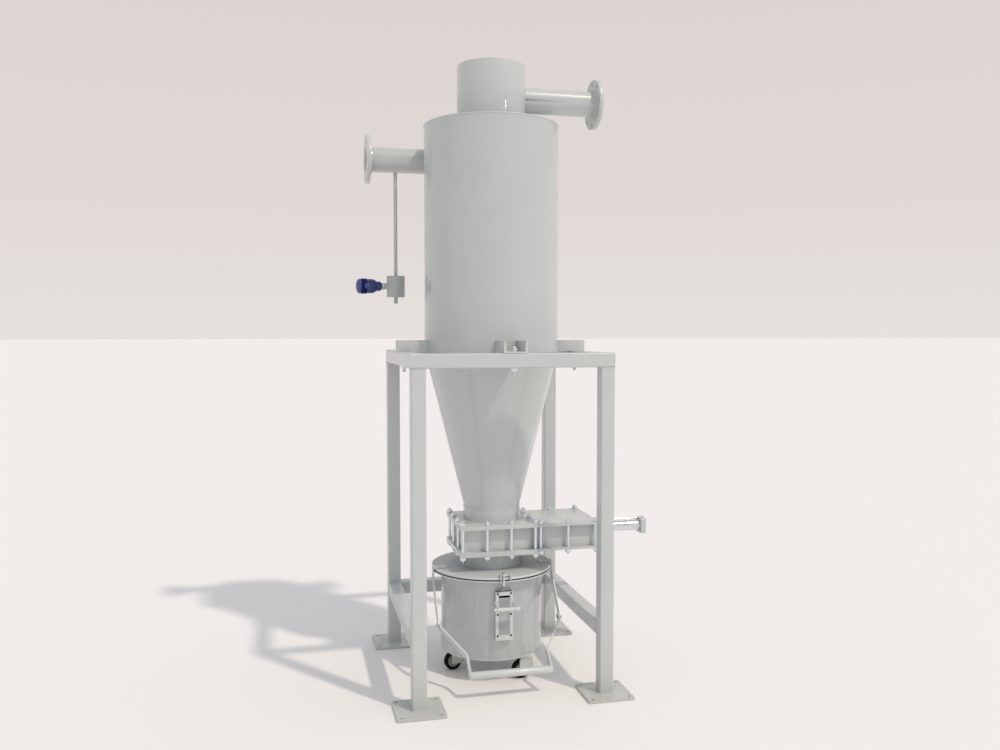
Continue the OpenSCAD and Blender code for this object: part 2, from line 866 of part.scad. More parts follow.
module sensor_cover() {
    rim = cover_len * 0.45;
    color(navy) translate([sensor_x - sensor_len + cover_len, inlet_y, sensor_z]) rotate([0, -90, 0])
        rotate_extrude() polygon(concat(
            [[0, 0], [sensor_r * 0.97, 0], [sensor_r * 0.97, rim]],
            [for (a = [10:16:90]) [sensor_r * 0.9 * cos(a), rim + (cover_len - rim) * sin(a)]]
        ));
}

// Dust bin

module lower_neck() {
    color(paint) translate([0, 0, lid_top]) pipe(neck_r, neck_r - sheet_t, valve_bottom - lid_top);
}

module bin_lid() {
    color(paint) translate([0, 0, lid_under]) pipe(lid_r, neck_r - sheet_t, lid_t);
}

module lid_gasket() {
    color(black) translate([0, 0, gasket_under]) pipe(lid_r, bin_r, gasket_t);
}

module bin_shell() {
    color(paint) rotate_extrude() polygon([
        [0, bin_bottom], [bin_r, bin_bottom], [bin_r, rim_under], [lid_r, rim_under],
        [lid_r, gasket_under], [bin_r - bin_wall, gasket_under],
        [bin_r - bin_wall, bin_bottom + bin_floor_t], [0, bin_bottom + bin_floor_t]
    ]);
}

// Draw latch

// Two cheeks on a foot plate, with the bar that the hook takes hold of
module latch_keeper() {
    color(paint) {
        difference() {
            translate([-keeper_w / 2, -lid_r + 8, lid_top]) cube([keeper_w, 24, keeper_t]);
            for (s = [-1, 1]) translate([s * keeper_w * 0.28, -lid_r + 23, lid_top - over])
                cylinder(d = 7, h = keeper_t + 2 * over);
        }
        for (s = [-1, 1])
            side_plate(s * (keeper_w - keeper_t) / 2 - keeper_t / 2, keeper_t)
                polygon([
                    [-lid_r + 30, lid_top], [-lid_r + 12, lid_top + keeper_h], [-lid_r - 10, lid_top + keeper_h],
                    [-lid_r - 14, lid_top + keeper_h - 4], [-lid_r - 14, lid_under + 1],
                    [-lid_r - 0.4, lid_under + 1], [-lid_r - 0.4, lid_top]
                ]);
        translate([-keeper_w / 2 + 1, keeper_bar[0], keeper_bar[1]]) rotate([0, 90, 0])
            cylinder(d = keeper_bar_d, h = keeper_w - 2);
    }
}

// Deep pressed box, open at the top, with a guide for the hook and a pin on each side
module latch_base() {
    color(paint) {
        difference() {
            translate([-latch_w / 2, -latch_face, latch_bottom]) cube([latch_w, latch_depth + 5, latch_h]);
            translate([-latch_w / 2 + latch_t, -latch_face + latch_t, latch_bottom + latch_t])
                cube([latch_w - 2 * latch_t, latch_depth + 5, latch_h]);
            translate([0, 0, latch_bottom - over])
                cylinder(r = bin_r, h = latch_h + 2 * over, $fn = 240);
            translate([-slot_w / 2, -latch_face - over, slot_z - slot_h / 2])
                cube([slot_w, latch_t + 2 * over, slot_h]);
            for (sx = [-1, 1], k = [-1:1])
                translate([sx * screw_pitch_x / 2, -latch_face - over, latch_bottom + latch_h / 2
                    + 3 + k * screw_pitch_z])
                    rotate([-90, 0, 0]) cylinder(d = screw_d, h = latch_t + 2 * over);
        }
        difference() {
            translate([-20, -latch_face + latch_t - 0.5, guide_z]) cube([40, latch_depth + 3, guide_h]);
            translate([0, 0, guide_z - over]) cylinder(r = bin_r, h = guide_h + 2 * over, $fn = 240);
            translate([hook_x, hook_in_y, guide_z - over]) cylinder(r = hook_r + run_gap, h = guide_h + 2 * over);
        }
        for (s = [-1, 1])
            translate([s * (latch_w / 2 - latch_t), lever_pin[0], lever_pin[1]]) rotate([0, s * 90, 0]) {
                cylinder(d = lever_pin_d, h = latch_t + 2 * lever_gap + lever_arm_t + 1);
                translate([0, 0, latch_t + 2 * lever_gap + lever_arm_t]) cylinder(d = lever_pin_d + 4, h = 2);
            }
    }
}

// Two flat arms beside the base, joined by the cross handle
module latch_lever() {
    color(white_paint) {
        for (s = [-1, 1])
            side_plate(s * (lever_arm_x + lever_arm_t / 2) - lever_arm_t / 2, lever_arm_t) difference() {
                union() {
                    strip_2d(lever_pin, lever_tip, lever_arm_h);
                    translate(lever_pin) circle(d = lever_arm_h + 3);
                    translate(lever_tip) circle(d = handle_d + 4);
                }
                translate(lever_pin) circle(r = lever_pin_d / 2 + run_gap);
            }
        translate([-handle_len / 2, lever_tip[0], lever_tip[1]]) rotate([0, 90, 0])
            cylinder(d = handle_d, h = handle_len);
    }
}

// Straight run of the hook's rod with round bends at both ends
module rod_run(from, to) {
    step = to - from;
    for (spot = [from, to]) translate([hook_x, spot[0], spot[1]]) sphere(r = hook_r + 0.6);
    translate([hook_x, from[0], from[1]]) rotate([atan2(-step[0], step[1]), 0, 0])
        cylinder(r = hook_r, h = norm(step));
}

// Rod that leans out from the base and hooks over the keeper's bar from the front
module latch_hook() {
    arm_z = keeper_bar[1] + keeper_bar_d / 2 + hook_gap;
    arm_h = 7;
    back = keeper_bar[0] + keeper_bar_d / 2 + hook_gap;
    color(zinc) {
        translate([hook_x, hook_in_y, hook_foot]) cylinder(r = hook_r, h = latch_top + 5 - hook_foot);
        rod_run([hook_in_y, latch_top + 5], [hook_y, hook_knee_z]);
        translate([hook_x, hook_y, hook_knee_z]) cylinder(r = hook_r, h = arm_z + arm_h - hook_knee_z);
        translate([hook_x - hook_r, hook_y, arm_z]) cube([2 * hook_r, back + 4 - hook_y, arm_h]);
        translate([hook_x - hook_r, back, keeper_bar[1] - 2]) cube([2 * hook_r, 4, arm_z + arm_h - keeper_bar[1] + 2]);
    }
}

// Lifting bail

// Hangers welded to the lid's sides, each with its riveted pin
module bail_hangers() {
    color(paint)
        for (s = [-1, 1]) {
            side_plate(s * (hanger_x + hanger_t / 2) - hanger_t / 2, hanger_t) {
                strip_2d([hanger_knee[0], lid_top - bail_w / 2], hanger_knee, bail_w);
                strip_2d(hanger_knee, bail_pin, bail_w);
                translate([hanger_knee[0] - bail_w / 2, lid_under]) square([bail_w, lid_t]);
            }
            translate([s * (arm_x - arm_t / 2 - 3), bail_pin[0], bail_pin[1]]) rotate([0, s * 90, 0]) {
                cylinder(d = bail_pin_d, h = arm_t + hanger_t + 10);
                cylinder(d = bail_pin_d + 6, h = 3 - arm_gap);
                translate([0, 0, arm_t + hanger_t + 3 + arm_gap]) cylinder(d = bail_pin_d + 6, h = 5);
            }
        }
}

// Bent flat bar from the pin's eye down to the grip, on the side s
module bail_arm(s) {
    run = grip - bail_pin;
    inner = s * (arm_low_x - arm_x);
    intersection() {
        side_plate(s * arm_x - 2 * hanger_x, 4 * hanger_x) difference() {
            strip_2d(bail_pin, grip, bail_w);
            translate(bail_pin) circle(r = bail_pin_d / 2 + run_gap);
        }
        translate([s * arm_x, bail_pin.x, bail_pin.y]) rotate([atan2(run.y, run.x), 0, 0])
            translate([0, 0, -bail_w]) linear_extrude(2 * bail_w) polygon([
                [-arm_t / 2, -bail_w], [arm_t / 2, -bail_w], [arm_t / 2, arm_bend_1],
                [inner + arm_t / 2, arm_bend_2], [inner + arm_t / 2, arm_len + bail_w],
                [inner - arm_t / 2, arm_len + bail_w], [inner - arm_t / 2, arm_bend_2],
                [-arm_t / 2, arm_bend_1]
            ]);
    }
}

module bail_lever() {
    color(white_paint) {
        for (s = [-1, 1]) bail_arm(s);
        translate([-grip_len / 2, grip[0], grip[1]]) rotate([0, 90, 0]) cylinder(d = grip_d, h = grip_len);
    }
}

// Casters

// Pivots of the left, the front and the back caster
caster_spots = [caster_left, [caster_right.x, -caster_right.y], caster_right];

module at_caster(spot) {
    translate(spot) children();
}

// Moves to the wheel's middle, with +X along the trail
module at_wheel(spot) {
    at_caster(spot) rotate(trail_dir) translate([trail, 0, axle_z]) children();
}

module caster_plates() {
    color(zinc)
        for (spot = caster_spots) at_caster(spot) {
            translate([0, 0, top_plate_z]) rotate(atan2(spot.y, spot.x))
                linear_extrude(top_plate_t) rounded_square(top_plate_size, 6);
            translate([0, 0, crown_bottom - crown_gap - pivot_head_t])
                cylinder(d = pivot_d, h = top_plate_z - crown_bottom + crown_gap + pivot_head_t);
            translate([0, 0, crown_bottom - crown_gap - pivot_head_t])
                cylinder(d = pivot_d + 6, h = pivot_head_t);
        }
}

// Crown with two deep pressed legs and the axle
module caster_fork(spot) {
    heel = trail + axle_d / 2 + 3;
    color(paint) {
        difference() {
            at_caster(spot) translate([0, 0, crown_bottom]) cylinder(r = crown_r, h = crown_t);
            at_caster(spot) translate([0, 0, crown_bottom - over])
                cylinder(r = pivot_d / 2 + run_gap, h = crown_t + 2 * over);
        }
        at_caster(spot) rotate(trail_dir)
            for (s = [-1, 1])
                translate([0, s * (fork_in + fork_t / 2) + fork_t / 2, 0]) rotate([90, 0, 0])
                    linear_extrude(fork_t) polygon([
                        [-17, crown_bottom + 4], [16, crown_bottom + 4], [heel, crown_bottom - 6],
                        [heel, axle_z - 10], [trail - 8, axle_z - 10], [-6, axle_z], [-19, axle_z + 14]
                    ]);
        at_wheel(spot) rotate([90, 0, 0]) cylinder(d = axle_d, h = 2 * (fork_in + fork_t) + 6, center = true);
    }
}

// Tyre with rounded shoulders on a dished hub
module caster_wheel(spot) {
    shoulder = 5;
    hub = wheel_r * 0.62;
    half = wheel_w / 2;
    color(black) at_wheel(spot) rotate([90, 0, 0]) difference() {
        rotate_extrude() polygon(concat(
            [[0, -half], [axle_d / 2 + 6, -half], [axle_d / 2 + 8, -half + 4], [hub, -half + 4], [hub, -half]],
            [for (a = [-90:30:0]) [wheel_r - shoulder + shoulder * cos(a), -half + shoulder + shoulder * sin(a)]],
            [for (a = [0:30:90]) [wheel_r - shoulder + shoulder * cos(a), half - shoulder + shoulder * sin(a)]],
            [[hub, half], [hub, half - 4], [axle_d / 2 + 8, half - 4], [axle_d / 2 + 6, half], [0, half]]
        ));
        cylinder(r = axle_d / 2 + run_gap, h = 2 * wheel_w, center = true);
    }
}

leg(-1, -1);  // leg_front_left
leg(1, -1);  // leg_front_right
leg(-1, 1);  // leg_back_left
leg(1, 1);  // leg_back_right
base_plates();
ring_front();
ring_back();
ring_left();
ring_right();
side_tie(-1);  // tie_left
side_tie(1);  // tie_right
tie_back();
support_brackets();
large_bolts();
body_shell();
roof_plate();
clean_air_head();
vortex_finder();
cone();
upper_neck();
inlet_pipe();
inlet_flange();
outlet_pipe();
outlet_flange();
roof_stud();
valve_plate(valve_in_top);  // valve_top_plate
valve_plate(valve_bottom);  // valve_bottom_plate
valve_walls();
valve_seats();
bonnet_plates();
bonnet_walls();
gate_blade();
piston_rod();
cylinder_front_cap();
cylinder_barrel();
cylinder_rear_cap();
air_pipe();
tie_rods();
rod_nuts();
tapping_pipe();
level_pot();
sensor_housing();
sensor_cover();
lower_neck();
bin_lid();
lid_gasket();
bin_shell();
latch_keeper();
latch_base();
latch_lever();
latch_hook();
bail_hangers();
bail_lever();
caster_plates();
caster_fork(caster_spots[0]);  // caster_fork_left
caster_fork(caster_spots[1]);  // caster_fork_front
caster_fork(caster_spots[2]);  // caster_fork_back
caster_wheel(caster_spots[0]);  // caster_wheel_left
caster_wheel(caster_spots[1]);  // caster_wheel_front
caster_wheel(caster_spots[2]);  // caster_wheel_back
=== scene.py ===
import json
import math

import bmesh
import bpy
from mathutils import Matrix, Vector

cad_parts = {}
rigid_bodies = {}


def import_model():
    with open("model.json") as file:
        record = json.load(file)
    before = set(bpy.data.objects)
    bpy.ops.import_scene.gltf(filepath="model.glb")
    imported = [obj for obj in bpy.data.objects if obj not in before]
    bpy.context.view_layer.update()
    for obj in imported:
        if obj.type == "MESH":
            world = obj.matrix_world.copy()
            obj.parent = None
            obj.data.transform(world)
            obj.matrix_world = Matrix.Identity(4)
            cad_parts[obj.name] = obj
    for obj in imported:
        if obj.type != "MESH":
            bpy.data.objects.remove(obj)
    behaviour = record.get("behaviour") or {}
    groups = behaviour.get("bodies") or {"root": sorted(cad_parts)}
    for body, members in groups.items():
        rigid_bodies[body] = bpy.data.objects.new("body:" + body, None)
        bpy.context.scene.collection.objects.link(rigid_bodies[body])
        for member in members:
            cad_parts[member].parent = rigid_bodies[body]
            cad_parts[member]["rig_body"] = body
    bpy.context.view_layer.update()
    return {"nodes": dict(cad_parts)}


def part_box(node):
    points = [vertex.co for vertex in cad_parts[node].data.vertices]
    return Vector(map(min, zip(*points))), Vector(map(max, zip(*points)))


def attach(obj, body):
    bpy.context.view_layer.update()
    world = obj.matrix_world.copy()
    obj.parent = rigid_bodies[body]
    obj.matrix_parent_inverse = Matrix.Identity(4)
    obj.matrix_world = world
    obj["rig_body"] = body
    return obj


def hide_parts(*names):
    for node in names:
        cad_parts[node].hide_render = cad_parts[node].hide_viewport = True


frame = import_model()
nodes = frame["nodes"]
scene = bpy.context.scene
scene.view_settings.view_transform = "Standard"
mm = 0.001
print("frame loaded:", len(nodes), "nodes")


def inMm(pairs):
    return [(a * mm, b * mm) for a, b in pairs]


def linear(hexColour):  # sRGB hex to linear red, green, blue, alpha
    parts = [int(hexColour[i : i + 2], 16) / 255 for i in (1, 3, 5)]
    return tuple(c / 12.92 if c <= 0.04045 else ((c + 0.055) / 1.055) ** 2.4 for c in parts) + (1.0,)


def addNode(tree, kind, settings=None, links=None):
    made = tree.nodes.new(kind)
    for key, value in (settings or {}).items():
        if isinstance(key, int) or key in made.inputs:
            made.inputs[key].default_value = value
        else:
            setattr(made, key, value)
    for key, source in (links or {}).items():
        tree.links.new(source, made.inputs[key])
    return made


def setStops(ramp, stops):  # (place, sRGB hex) pairs along a colour ramp
    marks = ramp.color_ramp.elements
    for i, (at, colour) in enumerate(stops):
        mark = marks[i] if i < 2 else marks.new(at)
        mark.position = at
        mark.color = linear(colour)


def placed(name, data):
    made = bpy.data.objects.new(name, data)
    scene.collection.objects.link(made)
    return made


def meshOf(name, shape):
    mesh = bpy.data.meshes.new(name)
    shape.to_mesh(mesh)
    shape.free()
    return mesh


# camera, floor and light

cameraSettings = {
    "place": (-0.90597, -3.98060, 1.51954),
    "turn": 13.378,  # degrees to the right of +Y
    "tilt": 2.63,  # degrees down
    "lens": 32.577,
    "sensor": 36.0,
    "far": 900,
}


def setCamera(settings):
    data = bpy.data.cameras.new("viewCamera")
    data.lens = settings["lens"]
    data.sensor_width = settings["sensor"]
    data.clip_end = settings["far"]
    camera = placed("viewCamera", data)
    camera.location = settings["place"]
    camera.rotation_euler = (math.radians(90 - settings["tilt"]), 0, math.radians(-settings["turn"]))
    scene.camera = camera


lightSettings = {
    "sunTravel": (-0.358, 0.472, -0.80),  # the way the light goes
    "sunStrength": 1.34,
    "sunColour": "#FFF5E6",
    "sunAngle": 2.6,
    "skyColour": "#F3F8FF",
    "skyStrength": 0.73,
    "skyLean": 0.22,  # how much brighter the sky is towards +X
    "backdrop": [(0.0, "#E6E1DD"), (0.144, "#E0D8D5"), (0.34, "#DCD4D0"), (0.8, "#D9D1CD")],
}
floorSettings = {
    "colour": "#F3EEEB", "roughness": 0.95, "shine": 0.1, "size": 500.0, "drop": 0.0005,
}


def setWorld(settings):
    world = bpy.data.worlds.new("paleStudio")
    world.use_nodes = True
    scene.world = world
    tree = world.node_tree
    tree.nodes.clear()
    way = addNode(tree, "ShaderNodeTexCoord")
    split = addNode(tree, "ShaderNodeSeparateXYZ", links={"Vector": way.outputs["Generated"]})
    ramp = addNode(tree, "ShaderNodeValToRGB", links={"Fac": split.outputs["Z"]})
    setStops(ramp, settings["backdrop"])
    seen = addNode(tree, "ShaderNodeBackground", {"Strength": 1.0}, {"Color": ramp.outputs["Color"]})
    strength = settings["skyStrength"]
    lean = addNode(
        tree, "ShaderNodeMath", {"operation": "MULTIPLY_ADD", 1: settings["skyLean"] * strength, 2: strength},
        {0: split.outputs["X"]},
    )
    sky = addNode(
        tree, "ShaderNodeBackground", {"Color": linear(settings["skyColour"])}, {"Strength": lean.outputs[0]}
    )
    rays = addNode(tree, "ShaderNodeLightPath").outputs
    direct = addNode(
        tree, "ShaderNodeMath", {"operation": "MAXIMUM"}, {0: rays["Is Camera Ray"], 1: rays["Is Glossy Ray"]}
    )
    shown = addNode(
        tree, "ShaderNodeMath", {"operation": "MAXIMUM"},
        {0: direct.outputs[0], 1: rays["Is Transmission Ray"]},
    )
    mix = addNode(
        tree, "ShaderNodeMixShader", links={0: shown.outputs[0], 1: sky.outputs[0], 2: seen.outputs[0]}
    )
    addNode(tree, "ShaderNodeOutputWorld", links={"Surface": mix.outputs[0]})


def setSun(settings):
    sun = bpy.data.lights.new("sunLamp", "SUN")
    sun.energy = settings["sunStrength"]
    sun.color = linear(settings["sunColour"])[:3]
    sun.angle = math.radians(settings["sunAngle"])
    lamp = placed("sunLamp", sun)
    lamp.rotation_euler = Vector(settings["sunTravel"]).to_track_quat("-Z", "Y").to_euler()


def setFloor(settings):
    half = settings["size"] / 2
    corners = [(-half, -half, 0), (half, -half, 0), (half, half, 0), (-half, half, 0)]
    mesh = bpy.data.meshes.new("floor")
    mesh.from_pydata(corners, [], [(0, 1, 2, 3)])
    floor = placed("floor", mesh)
    made = bpy.data.materials.new("mattFloorPaint")
    made.use_nodes = True
    shader = made.node_tree.nodes["Principled BSDF"]
    shader.inputs["Base Color"].default_value = linear(settings["colour"])
    shader.inputs["Roughness"].default_value = settings["roughness"]
    shader.inputs["Specular IOR Level"].default_value = settings["shine"]
    mesh.materials.append(made)
    floor.location.z = -settings["drop"]


setCamera(cameraSettings)
setWorld(lightSettings)
setSun(lightSettings)
setFloor(floorSettings)
print("camera, floor and light set")


# finishes

def blankMaterial(name):
    made = bpy.data.materials.new(name)
    made.use_nodes = True
    tree = made.node_tree
    tree.nodes.clear()
    return made, tree, addNode(tree, "ShaderNodeTexCoord").outputs["Object"]


# Two-pack gloss enamel, sprayed on steel: smooth and even, with faint orange peel that stretches the
# reflections, clouds of slightly duller overspray, and a little floor dust low down
def sprayedEnamel(name, look):
    made, tree, place = blankMaterial(name)
    clouds = addNode(
        tree, "ShaderNodeTexNoise", {"Scale": 1 / look["cloudSize"], "Detail": 4.0, "Roughness": 0.55},
        {"Vector": place},
    )
    colour = addNode(tree, "ShaderNodeValToRGB", links={"Fac": clouds.outputs["Fac"]})
    setStops(colour, [(0.2, look["dull"]), (0.8, look["colour"])])
    height = addNode(tree, "ShaderNodeSeparateXYZ", links={"Vector": place})
    dustLine = addNode(
        tree, "ShaderNodeMapRange", {"From Max": look["dustHeight"], "To Min": look["dust"], "To Max": 0.0},
        {"Value": height.outputs["Z"]},
    )
    specks = addNode(
        tree, "ShaderNodeTexNoise", {"Scale": 1 / look["dustSize"], "Detail": 6.0, "Roughness": 0.7},
        {"Vector": place},
    )
    dusty = addNode(
        tree, "ShaderNodeMath", {"operation": "MULTIPLY"}, {0: dustLine.outputs[0], 1: specks.outputs["Fac"]}
    )
    paint = addNode(
        tree, "ShaderNodeMix", {"data_type": "RGBA", 7: linear(look["dustColour"])},
        {0: dusty.outputs[0], 6: colour.outputs["Color"]},
    )
    low, high = look["roughness"] - 0.04, look["roughness"] + 0.08
    gloss = addNode(
        tree, "ShaderNodeMapRange", {"To Min": high, "To Max": low}, {"Value": clouds.outputs["Fac"]}
    )
    waves = addNode(
        tree, "ShaderNodeTexNoise", {"Scale": 1 / look["waveSize"], "Detail": 1.0}, {"Vector": place}
    )
    bulge = addNode(
        tree, "ShaderNodeBump", {"Strength": look["wave"], "Distance": look["waveHeight"]},
        {"Height": waves.outputs["Fac"]},
    )
    peel = addNode(
        tree, "ShaderNodeTexNoise", {"Scale": 1 / look["peelSize"], "Detail": 2.0}, {"Vector": place}
    )
    bump = addNode(
        tree, "ShaderNodeBump", {"Strength": look["peel"], "Distance": look["peelHeight"]},
        {"Height": peel.outputs["Fac"], "Normal": bulge.outputs[0]},
    )
    shader = addNode(tree, "ShaderNodeBsdfPrincipled", {
        "Coat Weight": look["coat"], "Coat Roughness": look["coatRoughness"],
        "IOR": look["ior"], "Specular IOR Level": look["shine"],
    }, {"Base Color": paint.outputs[2], "Roughness": gloss.outputs[0], "Normal": bump.outputs[0]})
    addNode(tree, "ShaderNodeOutputMaterial", links={"Surface": shader.outputs[0]})
    return made


greyEnamelLook = {
    "colour": "#C9CBC9", "dull": "#C4C7C6", "cloudSize": 350 * mm, "roughness": 0.34, "shine": 0.5,
    "ior": 1.5, "coat": 0.30, "coatRoughness": 0.09, "peelSize": 6 * mm, "peel": 0.10,
    "peelHeight": 0.4 * mm, "wave": 0.0, "waveSize": 160 * mm, "waveHeight": 4 * mm,
    "dust": 0.5, "dustHeight": 250 * mm, "dustSize": 11.111 * mm, "dustColour": "#A8A296",
}
sheetEnamelLook = {  # thin sheet waves a little
    **greyEnamelLook, "colour": "#C3C6C4", "dull": "#BDC1C0", "roughness": 0.27, "wave": 0.10,
    "coat": 0.75, "coatRoughness": 0.04,
}
headEnamelLook = {**sheetEnamelLook, "colour": "#C8CBC9", "dull": "#C3C6C5"}  # a little lighter, painted light on the head and the outlet pipe
# pale enamel of the latch lever and the bail; the same pale colour is also painted highlight on the lid's and
# rim's edges, the bin's foot bead and the latch's border
paleEnamelLook = {**greyEnamelLook, "colour": "#D5D7D5", "dull": "#CFD1D0", "peelSize": 4 * mm}
shadeEnamelLook = {  # darker, painted shade on the latch's pressed pocket and ribs and on the level pot
    **greyEnamelLook, "colour": "#BABCBB", "dull": "#AFB1B1", "coat": 0.1,
}
lidEnamelLook = {  # dull, with no clear coat; its colour a little darker as painted shade
    **greyEnamelLook, "colour": "#C6C8C6", "dull": "#BEC0BF", "coat": 0.0, "roughness": 0.42,
    "shine": 0.2,
}
greyEnamel = sprayedEnamel("greyTubeEnamel", greyEnamelLook)
lidEnamel = sprayedEnamel("dullShadedLidEnamel", lidEnamelLook)
sheetEnamel = sprayedEnamel("greySheetEnamel", sheetEnamelLook)
headEnamel = sprayedEnamel("paintedLightHeadEnamel", headEnamelLook)
paleEnamel = sprayedEnamel("paleHandleAndHighlightEnamel", paleEnamelLook)
shadeEnamel = sprayedEnamel("paintedShadeEnamel", shadeEnamelLook)


# Bare metal: bright zinc plating on fasteners has cool, cloudy crystals and a soft shine; ground
# stainless is drawn out in one direction; hard chrome mirrors the room. The grain, really well under
# a millimetre, is drawn some millimetres wide so that it shows
def bareMetal(name, look):
    made, tree, place = blankMaterial(name)
    stretch = addNode(tree, "ShaderNodeMapping", {"Scale": look["grainAcross"]}, {"Vector": place})
    grain = addNode(
        tree, "ShaderNodeTexNoise", {"Scale": 1 / look["grainSize"], "Detail": 5.0, "Roughness": 0.6},
        {"Vector": stretch.outputs[0]},
    )
    colour = addNode(tree, "ShaderNodeValToRGB", links={"Fac": grain.outputs["Fac"]})
    setStops(colour, [(0.35, look["dark"]), (0.65, look["light"])])
    rough = addNode(
        tree, "ShaderNodeMapRange", {"To Min": look["roughness"] * 0.75, "To Max": look["roughness"] * 1.3},
        {"Value": grain.outputs["Fac"]},
    )
    bump = addNode(
        tree, "ShaderNodeBump", {"Strength": look["bump"], "Distance": 0.2 * mm},
        {"Height": grain.outputs["Fac"]},
    )
    shader = addNode(tree, "ShaderNodeBsdfPrincipled", {"Metallic": 1.0}, {
        "Base Color": colour.outputs["Color"], "Roughness": rough.outputs[0], "Normal": bump.outputs[0],
    })
    addNode(tree, "ShaderNodeOutputMaterial", links={"Surface": shader.outputs[0]})
    return made


zincPlated = bareMetal("brightZincPlate", {
    "dark": "#D5DDE3", "light": "#F1F7FB", "grainSize": 3 * mm, "grainAcross": (1, 1, 1),
    "roughness": 0.26, "bump": 0.15,
})
groundSteel = bareMetal("groundStainless", {
    "dark": "#A9ABAC", "light": "#C7C8C8", "grainSize": 4 * mm, "grainAcross": (0.05, 1, 1),
    "roughness": 0.30, "bump": 0.2,
})
hardChrome = bareMetal("hardChromeTube", {
    "dark": "#CDD3D8", "light": "#E8ECEF", "grainSize": 6 * mm, "grainAcross": (0.04, 1, 1),
    "roughness": 0.10, "bump": 0.03,
})


# Cured rubber, cast nylon, polyester powder coat on a die-cast housing, and a near black that is painted
# shade in the latch's screw holes and slot and is also used on the casters' rivet heads: one even colour with
# slightly greyer or paler places, and a fine raised grain. The grain is really about 0.2 mm and is drawn
# coarser so that it shows
def grainedFinish(name, look):
    made, tree, place = blankMaterial(name)
    wear = addNode(
        tree, "ShaderNodeTexNoise", {"Scale": 1 / look["wearSize"], "Detail": look["wearDetail"]},
        {"Vector": place},
    )
    colour = addNode(tree, "ShaderNodeValToRGB", links={"Fac": wear.outputs["Fac"]})
    start, end = look["wearRange"]
    setStops(colour, [(start, look["colour"]), (end, look["worn"])])
    grit = addNode(
        tree, "ShaderNodeTexNoise", {"Scale": 1 / look["gritSize"], "Detail": look["gritDetail"]},
        {"Vector": place},
    )
    bump = addNode(
        tree, "ShaderNodeBump", {"Strength": look["grit"], "Distance": 0.3 * mm},
        {"Height": grit.outputs["Fac"]},
    )
    shader = addNode(tree, "ShaderNodeBsdfPrincipled", {
        "Roughness": look["roughness"], "Specular IOR Level": look["shine"],
        "Coat Weight": look["coat"], "Coat Roughness": look["coatRoughness"],
    }, {"Base Color": colour.outputs["Color"], "Normal": bump.outputs[0]})
    addNode(tree, "ShaderNodeOutputMaterial", links={"Surface": shader.outputs[0]})
    return made


rubberLook = {
    "colour": "#0B0B0B", "worn": "#1D1C1C", "wearSize": 12 * mm, "wearDetail": 5.0,
    "wearRange": (0.45, 0.8), "gritSize": 1.4286 * mm, "gritDetail": 3.0, "grit": 0.25,
    "roughness": 0.8, "shine": 0.15, "coat": 0.0, "coatRoughness": 0.03,
}
powderLook = {
    "colour": "#1F2C66", "worn": "#26367A", "wearSize": 16.667 * mm, "wearDetail": 3.0,
    "wearRange": (0.35, 0.65), "gritSize": 2.381 * mm, "gritDetail": 2.0, "grit": 0.18,
    "roughness": 0.38, "shine": 0.4, "coat": 0.4, "coatRoughness": 0.12,
}
tyreRubber = grainedFinish("solidTyreRubber", rubberLook)
gasketRubber = grainedFinish("spongeGasketRubber", {
    **rubberLook, "colour": "#1B1C1C", "worn": "#262727", "wearSize": 30 * mm, "shine": 0.3,
})
hubNylon = grainedFinish("castHubNylon", {
    **rubberLook, "colour": "#8B8D8B", "worn": "#7A7C7A", "wearSize": 10 * mm, "roughness": 0.42,
    "shine": 0.5,
})
nearBlack = grainedFinish("nearBlackShadeAndRivets", {
    **rubberLook, "colour": "#030303", "worn": "#080808", "wearSize": 5 * mm, "roughness": 0.85,
    "shine": 0.12,
})
blueHousing = grainedFinish("bluePowderCoat", powderLook)
blueCover = grainedFinish("paleBluePowderCoat", {
    **powderLook, "colour": "#33437F", "worn": "#3D4F90", "roughness": 0.40,
})
blueBand = grainedFinish("darkBluePowderCoat", {
    **powderLook, "colour": "#07134A", "worn": "#0B1A58", "roughness": 0.5, "shine": 0.08, "coat": 0.08,
})
print("finishes made")


# making pieces

lift = Matrix.Translation


def up(z):
    return lift((0, 0, z))


def facing(axis, at):  # turns Z to the axis, and moves to the place
    return Matrix.Translation(at) @ Vector(axis).to_track_quat("Z", "Y").to_matrix().to_4x4()


def settle(name, mesh, material, stands=(), body="stand"):
    if material is not None:
        mesh.materials.clear()
        mesh.materials.append(material)
    piece = placed(name, mesh)
    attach(piece, body)
    if stands:
        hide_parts(*stands)
    return piece


def baked(piece):  # the piece's modifiers worked into a plain mesh
    graph = bpy.context.evaluated_depsgraph_get()
    shown = piece.evaluated_get(graph)
    mesh = bpy.data.meshes.new_from_object(shown, preserve_all_data_layers=True, depsgraph=graph)
    bpy.data.objects.remove(piece)
    return mesh


def softened(mesh, width, segments=2, angle=35):
    mesh.shade_smooth()
    carrier = placed("carrier", mesh)
    if width:
        edge = carrier.modifiers.new("edge", "BEVEL")
        edge.width = width * mm
        edge.segments = segments
        edge.limit_method = "ANGLE"
        edge.angle_limit = math.radians(angle)
        edge.harden_normals = True
        edge.miter_outer = "MITER_ARC"
    made = baked(carrier)
    if not width:
        made.set_sharp_from_angle(angle=math.radians(angle))
    return made


# A node's own shape, its corners rounded by width millimetres, as a grinder and paint leave them
def dress(node, material, width=0.0, segments=2):
    shape = bmesh.new()
    shape.from_mesh(nodes[node].data)
    bmesh.ops.remove_doubles(shape, verts=shape.verts, dist=0.00003)
    bmesh.ops.dissolve_limit(
        shape, angle_limit=math.radians(0.5), verts=shape.verts, edges=shape.edges
    )
    mesh = meshOf(node, shape)
    mesh.materials.clear()
    first, *rest = node.split("_")
    name = first + "".join(word.capitalize() for word in rest)
    mesh = softened(mesh, width, segments)
    return settle(name, mesh, material, (node,), nodes[node]["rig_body"])


